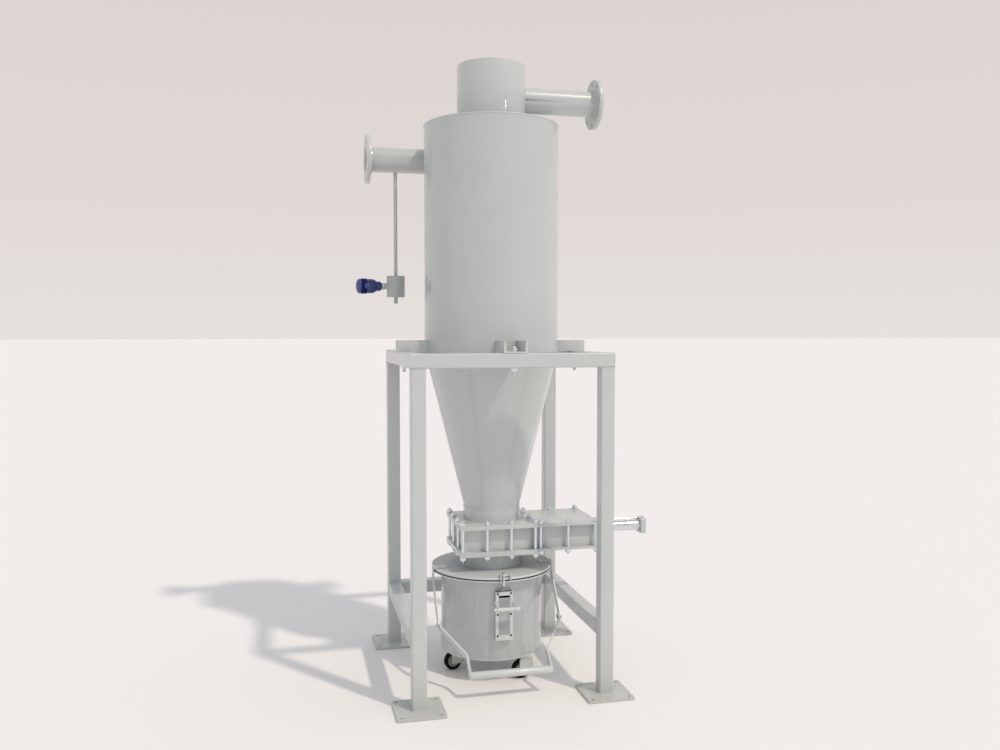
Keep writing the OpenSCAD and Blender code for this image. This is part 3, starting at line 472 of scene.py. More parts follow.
def partFinish(piece, finish, picked):  # the second finish goes on the faces that picked names
    piece.data.materials.append(finish)
    for face in piece.data.polygons:
        if picked(face.center, face.normal):
            face.material_index = len(piece.data.materials) - 1


def polar(radius, turn):
    return radius * math.cos(turn), radius * math.sin(turn)


def turns(count):
    return [2 * math.pi * i / count for i in range(count)]


# A round shape about Z from (radius, height) pairs; radius 0 closes it
def lathe(rings, count=48):
    shape = bmesh.new()
    rows = []
    for radius, height in rings:
        if radius < 1e-7:
            rows.append([shape.verts.new((0, 0, height))])
            continue
        rows.append([shape.verts.new((*polar(radius, t), height)) for t in turns(count)])
    for a, b in zip(rows, rows[1:]):
        for i in range(count):
            j = (i + 1) % count
            corners = [a[i % len(a)], a[j % len(a)], b[j % len(b)], b[i % len(b)]]
            corners = list(dict.fromkeys(corners))  # a closed end has one corner for two
            if len(corners) > 2:
                shape.faces.new(corners)
    bmesh.ops.remove_doubles(shape, verts=shape.verts, dist=1e-7)
    bmesh.ops.recalc_face_normals(shape, faces=shape.faces)
    return shape


def washer(bore, outer, thick, count=32):
    return lathe([(bore, 0), (outer, 0), (outer, thick), (bore, thick), (bore, 0)], count)


def rounded(corners, radius):  # the outline with every corner drawn as a short curve
    steps = 5
    made = []
    for i, corner in enumerate(corners):
        here = Vector(corner)
        ends = []
        for other in (corners[i - 1], corners[(i + 1) % len(corners)]):
            way = Vector(other) - here
            ends.append(here + way.normalized() * min(radius, way.length * 0.45))
        for k in range(steps + 1):
            t = k / steps
            made.append(tuple(ends[0] * (1 - t) ** 2 + here * 2 * t * (1 - t) + ends[1] * t * t))
    return made


# A flat outline in X and Y, given a thickness along Z
def slab(outline, thickness, bottom=0.0):
    shape = bmesh.new()
    low = [shape.verts.new((x, y, bottom)) for x, y in outline]
    high = [shape.verts.new((x, y, bottom + thickness)) for x, y in outline]
    shape.faces.new(low[::-1])
    shape.faces.new(high)
    for i in range(len(low)):
        j = (i + 1) % len(low)
        shape.faces.new((low[i], low[j], high[j], high[i]))
    bmesh.ops.recalc_face_normals(shape, faces=shape.faces)
    return shape


def block(x, y, right, back, thickness, bottom=0.0):  # a slab with four square corners
    return slab([(x, y), (right, y), (right, back), (x, back)], thickness, bottom)


# Hexagon with its corners chamfered at both ends, and a round bore or none
def hexagon(across, height, bore=0.0, chamfer=0.0008):
    flat, corner = across / 2, across / math.sqrt(3)
    ends = flat * 0.96
    shape = bmesh.new()

    def row(z, even, odd):
        made = []
        for i in range(12):
            made.append(shape.verts.new((*polar(odd if i % 2 else even, math.pi * i / 6), z)))
        return made

    rows = [
        row(0, ends, ends), row(chamfer, corner, flat),
        row(height - chamfer, corner, flat), row(height, ends, ends),
    ]
    if bore:
        rows = [row(0, bore, bore)] + rows + [row(height, bore, bore)]
        rows.append(rows[0])
    for a, b in zip(rows, rows[1:]):
        for i in range(12):
            j = (i + 1) % 12
            shape.faces.new((a[i], a[j], b[j], b[i]))
    if not bore:
        shape.faces.new(rows[0])
        shape.faces.new(rows[-1])
    bmesh.ops.recalc_face_normals(shape, faces=shape.faces)
    return shape


# Screw thread as close ridges, from z 0 up, with a chamfered end
def threadRings(radius, length, pitch):
    depth = pitch * 0.3
    root = radius - depth
    rings = [(0, 0), (root, 0)]
    z = 0.0
    while z + pitch < length - depth * 1.5:
        rings += [(root, z + pitch * 0.1), (radius, z + pitch * 0.45), (radius, z + pitch * 0.6)]
        z += pitch
    rings += [(root, z + pitch * 0.2), (root, length - depth), (radius - 2 * depth, length), (0, length)]
    return rings


def united(shapes):  # (shape, matrix) pairs as one shape
    whole = bmesh.new()
    for shape, matrix in shapes:
        shape.transform(matrix)
        part = meshOf("part", shape)
        whole.from_mesh(part)
        bpy.data.meshes.remove(part)
    return whole


# One piece from (shape, matrix) parts; a third value in a part picks one of the materials
def build(name, parts, materials, stands=(), body="stand", width=0.0):
    for shape, matrix, *picked in parts:
        for face in shape.faces:
            face.material_index = picked[0] if picked else 0
    mesh = meshOf(name, united([part[:2] for part in parts]))
    mesh.shade_smooth()
    mesh.set_sharp_from_angle(angle=math.radians(40))
    for material in materials:
        mesh.materials.append(material)
    if width:
        mesh = softened(mesh, width)
    return settle(name, mesh, None, stands, body)


# patterns that repeat or follow a line

def geometryTree(name, inputs):
    tree = bpy.data.node_groups.new(name, "GeometryNodeTree")
    face = tree.interface
    face.new_socket("Geometry", in_out="INPUT", socket_type="NodeSocketGeometry")
    keys = {}
    for label, kind in {**inputs, "Finish": "Material"}.items():
        keys[label] = face.new_socket(label, in_out="INPUT", socket_type="NodeSocket" + kind).identifier
    face.new_socket("Geometry", in_out="OUTPUT", socket_type="NodeSocketGeometry")
    given = addNode(tree, "NodeGroupInput").outputs
    return tree, given, keys


def sealTree(tree, geometry, given):  # real geometry with its finish, as the export needs
    real = addNode(tree, "GeometryNodeRealizeInstances", links={"Geometry": geometry})
    coated = addNode(
        tree, "GeometryNodeSetMaterial", links={"Geometry": real.outputs[0], "Material": given["Finish"]}
    )
    smooth = addNode(tree, "GeometryNodeSetShadeSmooth", links={"Geometry": coated.outputs[0]})
    addNode(tree, "NodeGroupOutput", links={0: smooth.outputs[0]})


# A bead that follows lines, swelling a little at each pool of the weld
def weldBeadTree():
    tree, given, keys = geometryTree("weldBead", {
        "Bead Radius": "Float", "Pool Length": "Float", "Pool Height": "Float",
    })
    line = addNode(tree, "GeometryNodeMeshToCurve", links={"Mesh": given["Geometry"]})
    step = addNode(tree, "ShaderNodeMath", {"operation": "DIVIDE", 1: 3.0}, {0: given["Pool Length"]})
    even = addNode(
        tree, "GeometryNodeResampleCurve", {"mode": "LENGTH"},
        {"Curve": line.outputs[0], "Length": step.outputs[0]},
    )
    along = addNode(tree, "GeometryNodeSplineParameter")
    pools = addNode(
        tree, "ShaderNodeMath", {"operation": "DIVIDE"}, {0: along.outputs["Length"], 1: given["Pool Length"]}
    )
    turn = addNode(tree, "ShaderNodeMath", {"operation": "MULTIPLY", 1: 2 * math.pi}, {0: pools.outputs[0]})
    wave = addNode(tree, "ShaderNodeMath", {"operation": "SINE"}, {0: turn.outputs[0]})
    swell = addNode(
        tree, "ShaderNodeMath", {"operation": "MULTIPLY_ADD", 2: 1.0},
        {0: wave.outputs[0], 1: given["Pool Height"]},
    )
    radius = addNode(
        tree, "ShaderNodeMath", {"operation": "MULTIPLY"}, {0: swell.outputs[0], 1: given["Bead Radius"]}
    )
    section = addNode(tree, "GeometryNodeCurvePrimitiveCircle", {"Resolution": 6, "Radius": 1.0})
    tube = addNode(
        tree, "GeometryNodeCurveToMesh", {"Fill Caps": True},
        {"Curve": even.outputs[0], "Profile Curve": section.outputs[0], "Scale": radius.outputs[0]},
    )
    sealTree(tree, tube.outputs[0], given)
    return tree, keys


# Copies of one fastener on points, each standing the way its point faces and turned by chance
def fastenerTree():
    tree, given, keys = geometryTree("fastenersOnPoints", {
        "Fastener": "Object", "Turn Seed": "Int", "Turn Range": "Float",
    })
    chance = addNode(
        tree, "FunctionNodeRandomValue", links={3: given["Turn Range"], "Seed": given["Turn Seed"]}
    )
    spin = addNode(tree, "ShaderNodeCombineXYZ", links={"Z": chance.outputs[1]})
    start = addNode(tree, "FunctionNodeEulerToRotation", links={0: spin.outputs[0]})
    way = addNode(
        tree, "GeometryNodeInputNamedAttribute", {"data_type": "FLOAT_VECTOR", "Name": "facing"}
    )
    stand = addNode(
        tree, "FunctionNodeAlignRotationToVector", {"axis": "Z"},
        {"Rotation": start.outputs[0], "Vector": way.outputs[0]},
    )
    source = addNode(
        tree, "GeometryNodeObjectInfo", {"As Instance": True}, {"Object": given["Fastener"]}
    ).outputs["Geometry"]
    spots = addNode(tree, "GeometryNodeMeshToPoints", links={"Mesh": given["Geometry"]})
    copies = addNode(
        tree, "GeometryNodeInstanceOnPoints",
        links={"Points": spots.outputs[0], "Instance": source, "Rotation": stand.outputs[0]},
    )
    sealTree(tree, copies.outputs[0], given)
    return tree, keys


# Fine upright ribs side by side on a pressed panel
def ribTree():
    tree, given, keys = geometryTree("pressedRibs", {
        "Rib Count": "Int", "Rib Pitch": "Float", "Rib Width": "Float", "Rib Height": "Float",
        "Rib Length": "Float",
    })
    step = addNode(tree, "ShaderNodeCombineXYZ", links={"X": given["Rib Pitch"]})
    row = addNode(
        tree, "GeometryNodeMeshLine", links={"Count": given["Rib Count"], "Offset": step.outputs[0]}
    )
    size = addNode(
        tree, "ShaderNodeCombineXYZ",
        links={"X": given["Rib Width"], "Y": given["Rib Height"], "Z": given["Rib Length"]},
    )
    rib = addNode(tree, "GeometryNodeMeshCube", {1: 3}, {"Size": size.outputs[0]})
    copies = addNode(
        tree, "GeometryNodeInstanceOnPoints", links={"Points": row.outputs[0], "Instance": rib.outputs[0]}
    )
    sealTree(tree, copies.outputs[0], given)
    return tree, keys


weldTree, weldKeys = weldBeadTree()
pointTree, pointKeys = fastenerTree()
panelTree, panelKeys = ribTree()


def grown(name, mesh, tree, keys, values, smooth=40):
    carrier = placed(name + "Carrier", mesh)
    pattern = carrier.modifiers.new("pattern", "NODES")
    pattern.node_group = tree
    for label, value in values.items():
        pattern[keys[label]] = value
    made = baked(carrier)
    made.set_sharp_from_angle(angle=math.radians(smooth))
    return made


def pointMesh(name, spots):  # (place, facing) pairs
    mesh = bpy.data.meshes.new(name)
    mesh.from_pydata([tuple(place) for place, axis in spots], [], [])
    way = mesh.attributes.new("facing", "FLOAT_VECTOR", "POINT")
    for i, (place, axis) in enumerate(spots):
        way.data[i].vector = axis
    return mesh


fullTurn = 6.2832


def scatter(name, shape, spots, finish, stands=(), body="stand", seed=1):
    pattern = placed(name + "Shape", meshOf(name + "Shape", shape))
    made = grown(name, pointMesh(name, spots), pointTree, pointKeys, {
        "Fastener": pattern, "Turn Seed": seed, "Turn Range": fullTurn, "Finish": finish,
    })
    bpy.data.objects.remove(pattern)
    return settle(name, made, None, stands, body)


def allFacing(places, z, way):  # one (place, facing) pair for each (x, y), up for way 1 or down for -1
    return [((x, y, z), (0, 0, way)) for x, y in places]


nutFit = 0.97  # a nut's bore over its thread's radius, so that no gap shows

# the frame: square tube, base plates, ring, ties and brackets

for node in ["leg_front_left", "leg_front_right", "leg_back_left", "leg_back_right",
             "ring_front", "ring_back", "ring_left", "ring_right", "tie_left", "tie_right", "tie_back"]:
    dress(node, greyEnamel)
dress("base_plates", greyEnamel, 1.6)
dress("support_brackets", greyEnamel, 1.4)

boltSettings = {
    "radius": 8 * mm, "pitch": 2 * mm, "across": 24 * mm, "nut": 12 * mm, "chamfer": 1.2 * mm,
    "washer": 2.5 * mm, "washerRadius": 13.5 * mm,
    "places": [(0, -0.420), (0, 0.420), (-0.395, 0), (0.395, 0)],
    "low": 1.350, "underRing": 1.380, "onWeb": 1.446, "top": 1.467,
}


def largeBolts(s):
    r = s["radius"]
    stud = lathe(threadRings(r, s["top"] - s["low"], s["pitch"]), 20)
    scatter("bracketStuds", stud, allFacing(s["places"], s["low"], 1), zincPlated,
            ("large_bolts",))
    nut = united([
        (washer(r, s["washerRadius"], s["washer"], 40), up(0)),
        (hexagon(s["across"], s["nut"], r * nutFit, s["chamfer"]), up(s["washer"])),
    ])
    spots = allFacing(s["places"], s["onWeb"], 1) + allFacing(s["places"], s["underRing"], -1)
    scatter("bracketNuts", nut, spots, zincPlated, ("large_bolts",), seed=4)


largeBolts(boltSettings)
print("frame dressed")


# the cyclone: rolled sheet with a cone, flat roof and capped head

dress("body_shell", sheetEnamel)
dress("roof_plate", sheetEnamel, 1.6)
# the head and the outlet pipe take the lighter enamel, painted light
dress("clean_air_head", headEnamel, 2.5, 3)
for node in ["vortex_finder", "cone", "upper_neck", "lower_neck", "inlet_pipe"]:
    dress(node, sheetEnamel)
dress("outlet_pipe", headEnamel)
dress("inlet_flange", greyEnamel, 1.2)
dress("outlet_flange", greyEnamel, 1.2)

studSettings = {
    "place": (0.004, -0.250, 2.437), "radius": 6 * mm, "length": 50 * mm, "pitch": 1.75 * mm,
    "point": 8 * mm, "pointRadius": 3 * mm, "across": 19 * mm, "nut": 8 * mm, "topNut": 14 * mm,
    "topNutUp": 16 * mm, "washer": 2 * mm, "washerRadius": 13 * mm,
}


def roofStud(s):
    at = lift(s["place"])
    r, length, tip = s["radius"], s["length"], s["length"] + s["point"]
    rings = threadRings(r, length, s["pitch"])[:-2]
    rings += [(r, length), (s["pointRadius"], tip), (0, tip)]
    build("roofStud", [
        (lathe(rings, 24), at),
        (washer(r, s["washerRadius"], s["washer"]), at),
        (hexagon(s["across"], s["nut"], r * nutFit), at @ up(s["washer"])),
        (hexagon(s["across"], s["topNut"], r * nutFit), at @ up(s["topNutUp"])),
    ], [zincPlated], ("roof_stud",))


roofStud(studSettings)
print("cyclone dressed")


# the slide gate and its cylinder

for node, width in [("valve_top_plate", 1.4), ("valve_bottom_plate", 1.4), ("valve_walls", 0.8),
                    ("bonnet_plates", 1.2), ("bonnet_walls", 0.8)]:
    dress(node, greyEnamel, width)
endWallSettings = {
    "outer": -154 * mm, "inner": -139 * mm, "half": 140 * mm, "back": 156 * mm, "sheet": 5 * mm,
    "wall": 12 * mm, "bottom": 567 * mm, "height": 98 * mm,
}


def valveEndWall(s):  # stiffening channel on the end wall, close behind the rods
    a, b, h = s["outer"], s["inner"], s["half"]
    web = a + s["sheet"]
    strips = [(a, -h, web, s["back"]), (web, -h, b, s["wall"] - h), (web, h - s["wall"], b, h)]
    parts = [(block(*strip, s["height"], s["bottom"]), up(0)) for strip in strips]
    build("valveEndWall", parts, [greyEnamel])


valveEndWall(endWallSettings)
dress("valve_seats", groundSteel, 0.8)
dress("gate_blade", groundSteel, 0.6)
dress("piston_rod", hardChrome, 0.8)
dress("cylinder_front_cap", greyEnamel, 1.2)
dress("cylinder_rear_cap", greyEnamel, 1.6)
dress("cylinder_barrel", hardChrome)
dress("air_pipe", zincPlated)

rodOut = 163  # millimetres from the gate's middle to its outer rods
rodSettings = {
    "radius": 6 * mm, "shank": 6.6 * mm, "pitch": 1.75 * mm, "across": 22 * mm, "nut": 12.5 * mm,
    "ring": 13 * mm, "ringThick": 1.5 * mm, "topStand": 6 * mm, "lowStand": 8 * mm, "sunk": 1 * mm,
    "valve": [(i * rodOut / 3 * mm, j * rodOut / 3 * mm)
              for i in (-3, -1, 1, 3) for j in (-3, -1, 1, 3) if abs(j) == 3 or i == -3],
    "throat": [(rodOut * mm, -rodOut / 3 * mm), (rodOut * mm, rodOut / 3 * mm)],
    "bonnet": [(x * mm, y * mm) for x in (190, 318, 446) for y in (-153, 153)],
    "valveFaces": (547 * mm, 685 * mm), "bonnetFaces": (557 * mm, 675 * mm),
}


def rodGroup(s):
    r, sunk = s["radius"], s["sunk"]
    nutAt, topEnds, lowEnds = [], [], []
    for whole, studs, (low, high) in [(s["valve"], s["throat"], s["valveFaces"]),
                                      (s["bonnet"], [], s["bonnetFaces"])]:
        nutAt += allFacing(whole + studs, high, 1) + allFacing(whole + studs, low, -1)
        topEnds += allFacing(whole + studs, high - sunk, 1)
        lowEnds += allFacing(whole, low + sunk, -1)
    # the throat has short studs, so their lower ends stand out less
    topEnds += allFacing(s["throat"], s["valveFaces"][0] + sunk, -1)
    for name, spots, (low, high) in [("valveRods", s["valve"], s["valveFaces"]),
                                     ("bonnetRods", s["bonnet"], s["bonnetFaces"])]:
        shank = lathe([(0, 0), (s["shank"], 0), (s["shank"], high - low), (0, high - low)], 24)
        scatter(name, shank, allFacing(spots, low, 1), zincPlated,
                ("tie_rods",), seed=3)
    for name, at, length in [("rodTips", topEnds, s["nut"] + s["topStand"] + sunk),
                             ("rodTails", lowEnds, s["nut"] + s["lowStand"] + sunk)]:
        scatter(name, lathe(threadRings(r, length, s["pitch"]), 20), at, zincPlated,
                ("tie_rods",), seed=5)
    thick = s["ringThick"]
    nut = united([
        (washer(r, s["ring"], thick), up(0)),
        (hexagon(s["across"], s["nut"] - thick, r * nutFit), up(thick)),
    ])
    scatter("rodNuts", nut, nutAt, zincPlated, ("rod_nuts",), seed=8)


rodGroup(rodSettings)


# cap screws, air fittings and the bonnet's plug; profiles are (radius, height) in millimetres
actuatorSettings = {
    "z": 616 * mm, "frontFace": 478 * mm, "rearCap": (713 * mm, 740 * mm), "screwPitch": 50 * mm,
    "sunk": 0.4 * mm, "airPipe": (20 * mm, 644 * mm), "fitting": 13 * mm, "fittingLong": 8 * mm,
    "fittingBore": 4 * mm, "portIn": 14 * mm, "portNut": 5 * mm, "plug": (452 * mm, -30 * mm, 675 * mm),
    "head": [(0, 0), (4, 0), (4, 3), (3.2, 3.6), (2, 3.6), (2, 1.6), (0, 1.6)],
    "cuff": [(4, 8), (5.6, 8), (5.2, 13), (4, 13.5), (4, 8)],
    "button": [(0, 0), (7, 0), (7, 2.5), (5, 4), (0, 4.5)],
    "elbow": [(0, -1), (6, -1), (6, 5), (4.2, 6), (4.2, 11), (0, 11.5)],
}


def actuatorDetail(s):
    half = s["screwPitch"] / 2
    corners = [(a, b) for a in (-half, half) for b in (-half, half)]
    spots = [((s["rearCap"][1] - s["sunk"], a, s["z"] + b), (1, 0, 0)) for a, b in corners]
    # the air pipe's fitting takes the place of the front face's fourth screw
    spots += [((s["frontFace"] - s["sunk"], a, s["z"] + b), (1, 0, 0)) for a, b in corners[:3]]
    scatter("capScrews", lathe(inMm(s["head"]), 20), spots, zincPlated, seed=2)
    parts = []
    for x, way in [(s["frontFace"], 1), (s["rearCap"][0], -1)]:
        at = facing((way, 0, 0), (x, *s["airPipe"]))
        parts.append((hexagon(s["fitting"], s["fittingLong"], s["fittingBore"]), at))
        parts.append((lathe(inMm(s["cuff"]), 24), at))
    parts.append((lathe(inMm(s["button"]), 24), lift(s["plug"])))
    build("airFittings", parts, [zincPlated])
    low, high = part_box("cylinder_rear_cap")
    place = lift(((low[0] + high[0]) / 2, low[1] + s["portIn"], high[2]))
    parts = [(hexagon(s["fitting"], s["portNut"]), place), (lathe(inMm(s["elbow"]), 24), place)]
    build("rearFitting", parts, [zincPlated])


actuatorDetail(actuatorSettings)
print("gate dressed")


# the dust bin, its lid, latch and bail

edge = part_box("bin_lid")[1][0] - 2.5 * mm
latchFace = -252 * mm


def highlightedEdge(middle, way):  # the outer edges of lid and rim take the paler enamel, a painted highlight
    return middle.xy.length > edge and abs(way.z) < 0.85


def pressedFace(middle, way):
    return way.y < -0.9 and abs(middle.y - latchFace) < 0.6 * mm


# the paler outer edges of lid and rim are a painted highlight
partFinish(dress("bin_lid", lidEnamel, 1.6), paleEnamel, highlightedEdge)
dress("lid_gasket", gasketRubber, 1.2)
partFinish(dress("bin_shell", sheetEnamel, 1.2), paleEnamel, highlightedEdge)
dress("latch_keeper", greyEnamel, 0.8)
# the latch's pressed middle takes the darker enamel, painted shade in the pocket
partFinish(dress("latch_base", greyEnamel, 0.7), shadeEnamel, pressedFace)
dress("latch_lever", paleEnamel, 1.2)
dress("latch_hook", zincPlated, 0.8)
dress("bail_hangers", greyEnamel, 0.9)
dress("bail_lever", paleEnamel, 1.2)

tabSettings = {
    "inner": 211 * mm, "outer": 274 * mm, "back": -14 * mm, "front": -60 * mm,
    "bottom": 477.8 * mm, "top": 483 * mm, "corner": 6 * mm,
}


def hangerTabs(s):  # the hangers' feet, turned in over the lid's top
    parts = []
    for side in (-1, 1):
        inner, outer = side * s["inner"], side * s["outer"]
        ends = [(inner, s["front"]), (outer, s["front"]), (outer, s["back"]), (inner, s["back"])]
        tab = slab(rounded(ends, s["corner"]), s["top"] - s["bottom"], s["bottom"])
        parts.append((tab, up(0)))
    build("hangerTabs", parts, [greyEnamel], width=0.8)


hangerTabs(tabSettings)

latchSettings = {
    "face": latchFace, "width": 76 * mm, "low": 201 * mm, "high": 411 * mm, "edge": 12.5 * mm,
    "raised": 1.6 * mm, "sunk": 0.3 * mm, "foot": 21 * mm,
    "screwAcross": 29.5 * mm, "screwUp": [221 * mm, 314 * mm, 404.5 * mm], "screwSunk": 0.6 * mm,
    "head": [(0, 0), (4.3, 0), (4.3, 1), (3.01, 1.8), (1.935, 1.8), (1.935, 0.8), (0, 0.8)],
    "slotWidth": 50 * mm, "slotHeight": 11 * mm, "slotUp": 390 * mm, "slotSheet": 0.6 * mm,
    "sheet": 3.2 * mm,
    "ribs": 19, "ribPitch": 2.5 * mm, "ribWidth": 1.2 * mm, "ribHeight": 1.4 * mm,
    "fields": [(229 * mm, 286 * mm), (346 * mm, 382 * mm)],
}


def latchDetail(s):
    front = s["face"] - s["raised"]
    # the screw heads are near black, painted shade of the screw holes
    spots = [((x, front + s["screwSunk"], z), (0, -1, 0))
             for x in (-s["screwAcross"], s["screwAcross"]) for z in s["screwUp"]]
    scatter("latchScrews", lathe(inMm(s["head"]), 20), spots, nearBlack)
    # a thin near-black sheet behind the slot, painted shade in its hollow
    w, h, thin = s["slotWidth"] / 2, s["slotHeight"] / 2, s["slotSheet"]
    upright = Matrix.Rotation(math.pi / 2, 4, "X")
    place = lift((0, s["face"] + s["sheet"] + thin, s["slotUp"])) @ upright
    build("latchSlotBack", [(block(-w, -h, w, h, thin), place)], [nearBlack])
    # embossed border round the ribbed middle and the slot, paler as a painted highlight
    half, low, high = s["width"] / 2, s["low"], s["high"]
    inner, foot, head = half - s["edge"], low + s["foot"], s["slotUp"] + h
    strips = [(-half, low, half, foot), (-half, head, half, high),
              (-half, foot, -inner, head), (inner, foot, half, head)]
    place = lift((0, s["face"] + s["sunk"], 0)) @ upright
    border = [(block(*strip, s["raised"] + s["sunk"]), place) for strip in strips]
    build("latchBorder", border, [paleEnamel])
    # the ribs take the darker enamel too, painted shade in the pocket
    start = -(s["ribs"] - 1) * s["ribPitch"] / 2
    for i, (bottom, top) in enumerate(s["fields"]):
        ribs = grown("latchRibs", bpy.data.meshes.new("ribSeed"), panelTree, panelKeys, {
            "Rib Count": s["ribs"], "Rib Pitch": s["ribPitch"], "Rib Width": s["ribWidth"],
            "Rib Height": s["ribHeight"], "Rib Length": top - bottom, "Finish": shadeEnamel,
        })
        ribs.transform(lift((start, s["face"], (top + bottom) / 2)))
        settle(f"latchRibs{i + 1}", ribs, None)


latchDetail(latchSettings)


casterSettings = {  # profiles and outlines are in millimetres
    "places": {"left": (-160, 0), "front": (112.08, -168.05), "back": (112.08, 168.05)},
    "trail": 20 * mm, "turn": 190, "axle": 41 * mm,
    "wheel": 40, "half": 13, "rim": 26, "shoulder": 5, "mould": 0.6, "groove": 0.3,
    "hub": [(5.05, -12.8), (10, -12.8), (12, -9), (21, -8), (23, -12), (26.3, -12)],
    "crown": [(6.05, 92.7), (16, 92.7), (18, 94.2), (23, 94.2), (24, 95.2), (24, 97.7), (23, 98.7),
              (6.05, 98.7), (6.05, 92.7)],
    "leg": 13.8 * mm, "sheet": 3 * mm, "legBend": 7,
    "legCorners": [(-32, 96.7), (16, 96.7), (30, 86.7), (30, 27), (-26, 30), (-34, 58)],
    "rivet": (-15 * mm, 83 * mm), "rivetSunk": 0.3 * mm,
    "rivetHead": [(0, 0), (2.6, 0), (2.2, 1.2), (0, 1.7)],
    "pin": 5 * mm, "pinAcross": 13 * mm, "pinHead": 3 * mm,
}


def tyreProfile(s):  # crowned tread with a mould line, rounded shoulders and a step down to the rim
    outer, half, bend, rim = s["wheel"], s["half"], s["shoulder"], s["rim"]
    arc = [math.radians(d) for d in range(0, 91, 15)]
    upper = [(outer, s["mould"])]
    upper += [(outer - bend + bend * math.cos(a), half - bend + bend * math.sin(a)) for a in arc]
    upper += [(rim + 3, half), (rim, half - 1.5)]
    lower = [(r, -z) for r, z in upper[::-1]]
    return inMm(lower + [(outer - s["groove"], 0)] + upper + lower[:1])


def caster(s, side, x, y):
    title = side.capitalize()
    wheel, wheelNode = "wheel_" + side, ("caster_wheel_" + side,)
    fork, forkNode = "fork_" + side, ("caster_fork_" + side,)
    flat = Matrix.Rotation(math.pi / 2, 4, "X")
    pivot = lift((x * mm, y * mm, 0)) @ Matrix.Rotation(math.radians(s["turn"]), 4, "Z")
    hub = pivot @ lift((s["trail"], 0, s["axle"])) @ flat
    tyre = [(lathe(tyreProfile(s), 64), hub)]
    build("casterTyre" + title, tyre, [tyreRubber], wheelNode, wheel)
    disc = s["hub"] + [(r, -z) for r, z in s["hub"][::-1]] + s["hub"][:1]
    disc = [(lathe(inMm(disc), 48), hub)]
    build("casterHub" + title, disc, [hubNylon], wheelNode, wheel)
    # pressed fork: a raised ball race under the crown and two deep legs
    outer = s["leg"] + s["sheet"]
    outline = inMm(rounded(s["legCorners"], s["legBend"]))
    parts = [(lathe(inMm(s["crown"]), 48), pivot)]
    parts += [(slab(outline, s["sheet"], bottom), pivot @ flat) for bottom in (-outer, s["leg"])]
    build("casterFork" + title, parts, [greyEnamel], forkNode, fork, 0.7)
    rivets = []
    for way in (-1, 1):
        spot = pivot @ Vector((s["rivet"][0], way * (outer - s["rivetSunk"]), s["rivet"][1]))
        rivets.append((tuple(spot), tuple(pivot.to_3x3() @ Vector((0, way, 0)))))
    head = lathe(inMm(s["rivetHead"]), 16)
    scatter("casterRivets" + title, head, rivets, nearBlack, body=fork)
    # the axle with its head and nut
    r, head = s["pin"], s["pinHead"]
    build("casterAxle" + title, [
        (lathe([(0, -outer), (r, -outer), (r, outer + head), (0, outer + head)], 24), hub),
        (hexagon(s["pinAcross"], head), hub @ up(-outer - head)),
        (hexagon(s["pinAcross"], head), hub @ up(outer)),
    ], [greyEnamel], forkNode, fork)


for side, (x, y) in casterSettings["places"].items():
    caster(casterSettings, side, x, y)
dress("caster_plates", zincPlated, 0.6)
print("bin dressed")


# the level pot and its transmitter

dress("tapping_pipe", sheetEnamel)
# the pot takes the darker enamel, painted shade
dress("level_pot", shadeEnamel, 1.6)

sensorSettings = {  # profiles are (radius, height) in millimetres, out from the pot's socket
    "x": -467 * mm, "y": 235 * mm, "z": 1737.5 * mm,
    # neck, waist, shoulders and barrel of the cast housing
    "body": [(0, 0), (14, 0), (17, 1), (20, 4), (22, 9), (22.5, 14), (22.5, 18), (22, 21.5), (23, 24),
             (26.5, 28), (29.5, 33), (32, 39), (33, 45), (33, 68), (32.4, 69), (0, 69)],
    "band": [(0, 68), (33.6, 68), (34.7, 69.2), (35, 71), (35, 92.5), (34.2, 94), (0, 94)],
    "cap": [(0, 93.5), (33, 93.5), (33.4, 95), (33.4, 103)],
    "dome": (31.4, 14), "domeIn": 1, "domeUp": 104, "top": 118.6,
    "lugs": 20, "lug": [(-1.5, -1.2), (1.5, -1.2), (1.0, 1.1), (-1.0, 1.1)], "lugLong": 9 * mm,
    "lugUp": 94.5 * mm, "lugOut": 33 * mm,
    "plugAlong": 68.6 * mm, "plugOut": 30 * mm,
    "plug": [(0, 0), (13, 0), (12.5, 7), (11.9, 7.6), (9.5, 7.6), (9.2, 9.4), (8.4, 10), (5.4, 10),
             (5.4, 7.5), (0, 7.5)],
    "screwAt": (85 * mm, 24 * mm, 24.5 * mm),
    "screw": [(0, 0), (2.6, 0), (2.6, 2.4), (1.9, 3), (1.2, 3), (1.2, 1.5), (0, 1.5)],
    "nutAcross": 34 * mm, "nutLong": 8 * mm, "nutBore": 13 * mm, "nutChamfer": 1.4 * mm,
    "nutBack": 12 * mm,
}


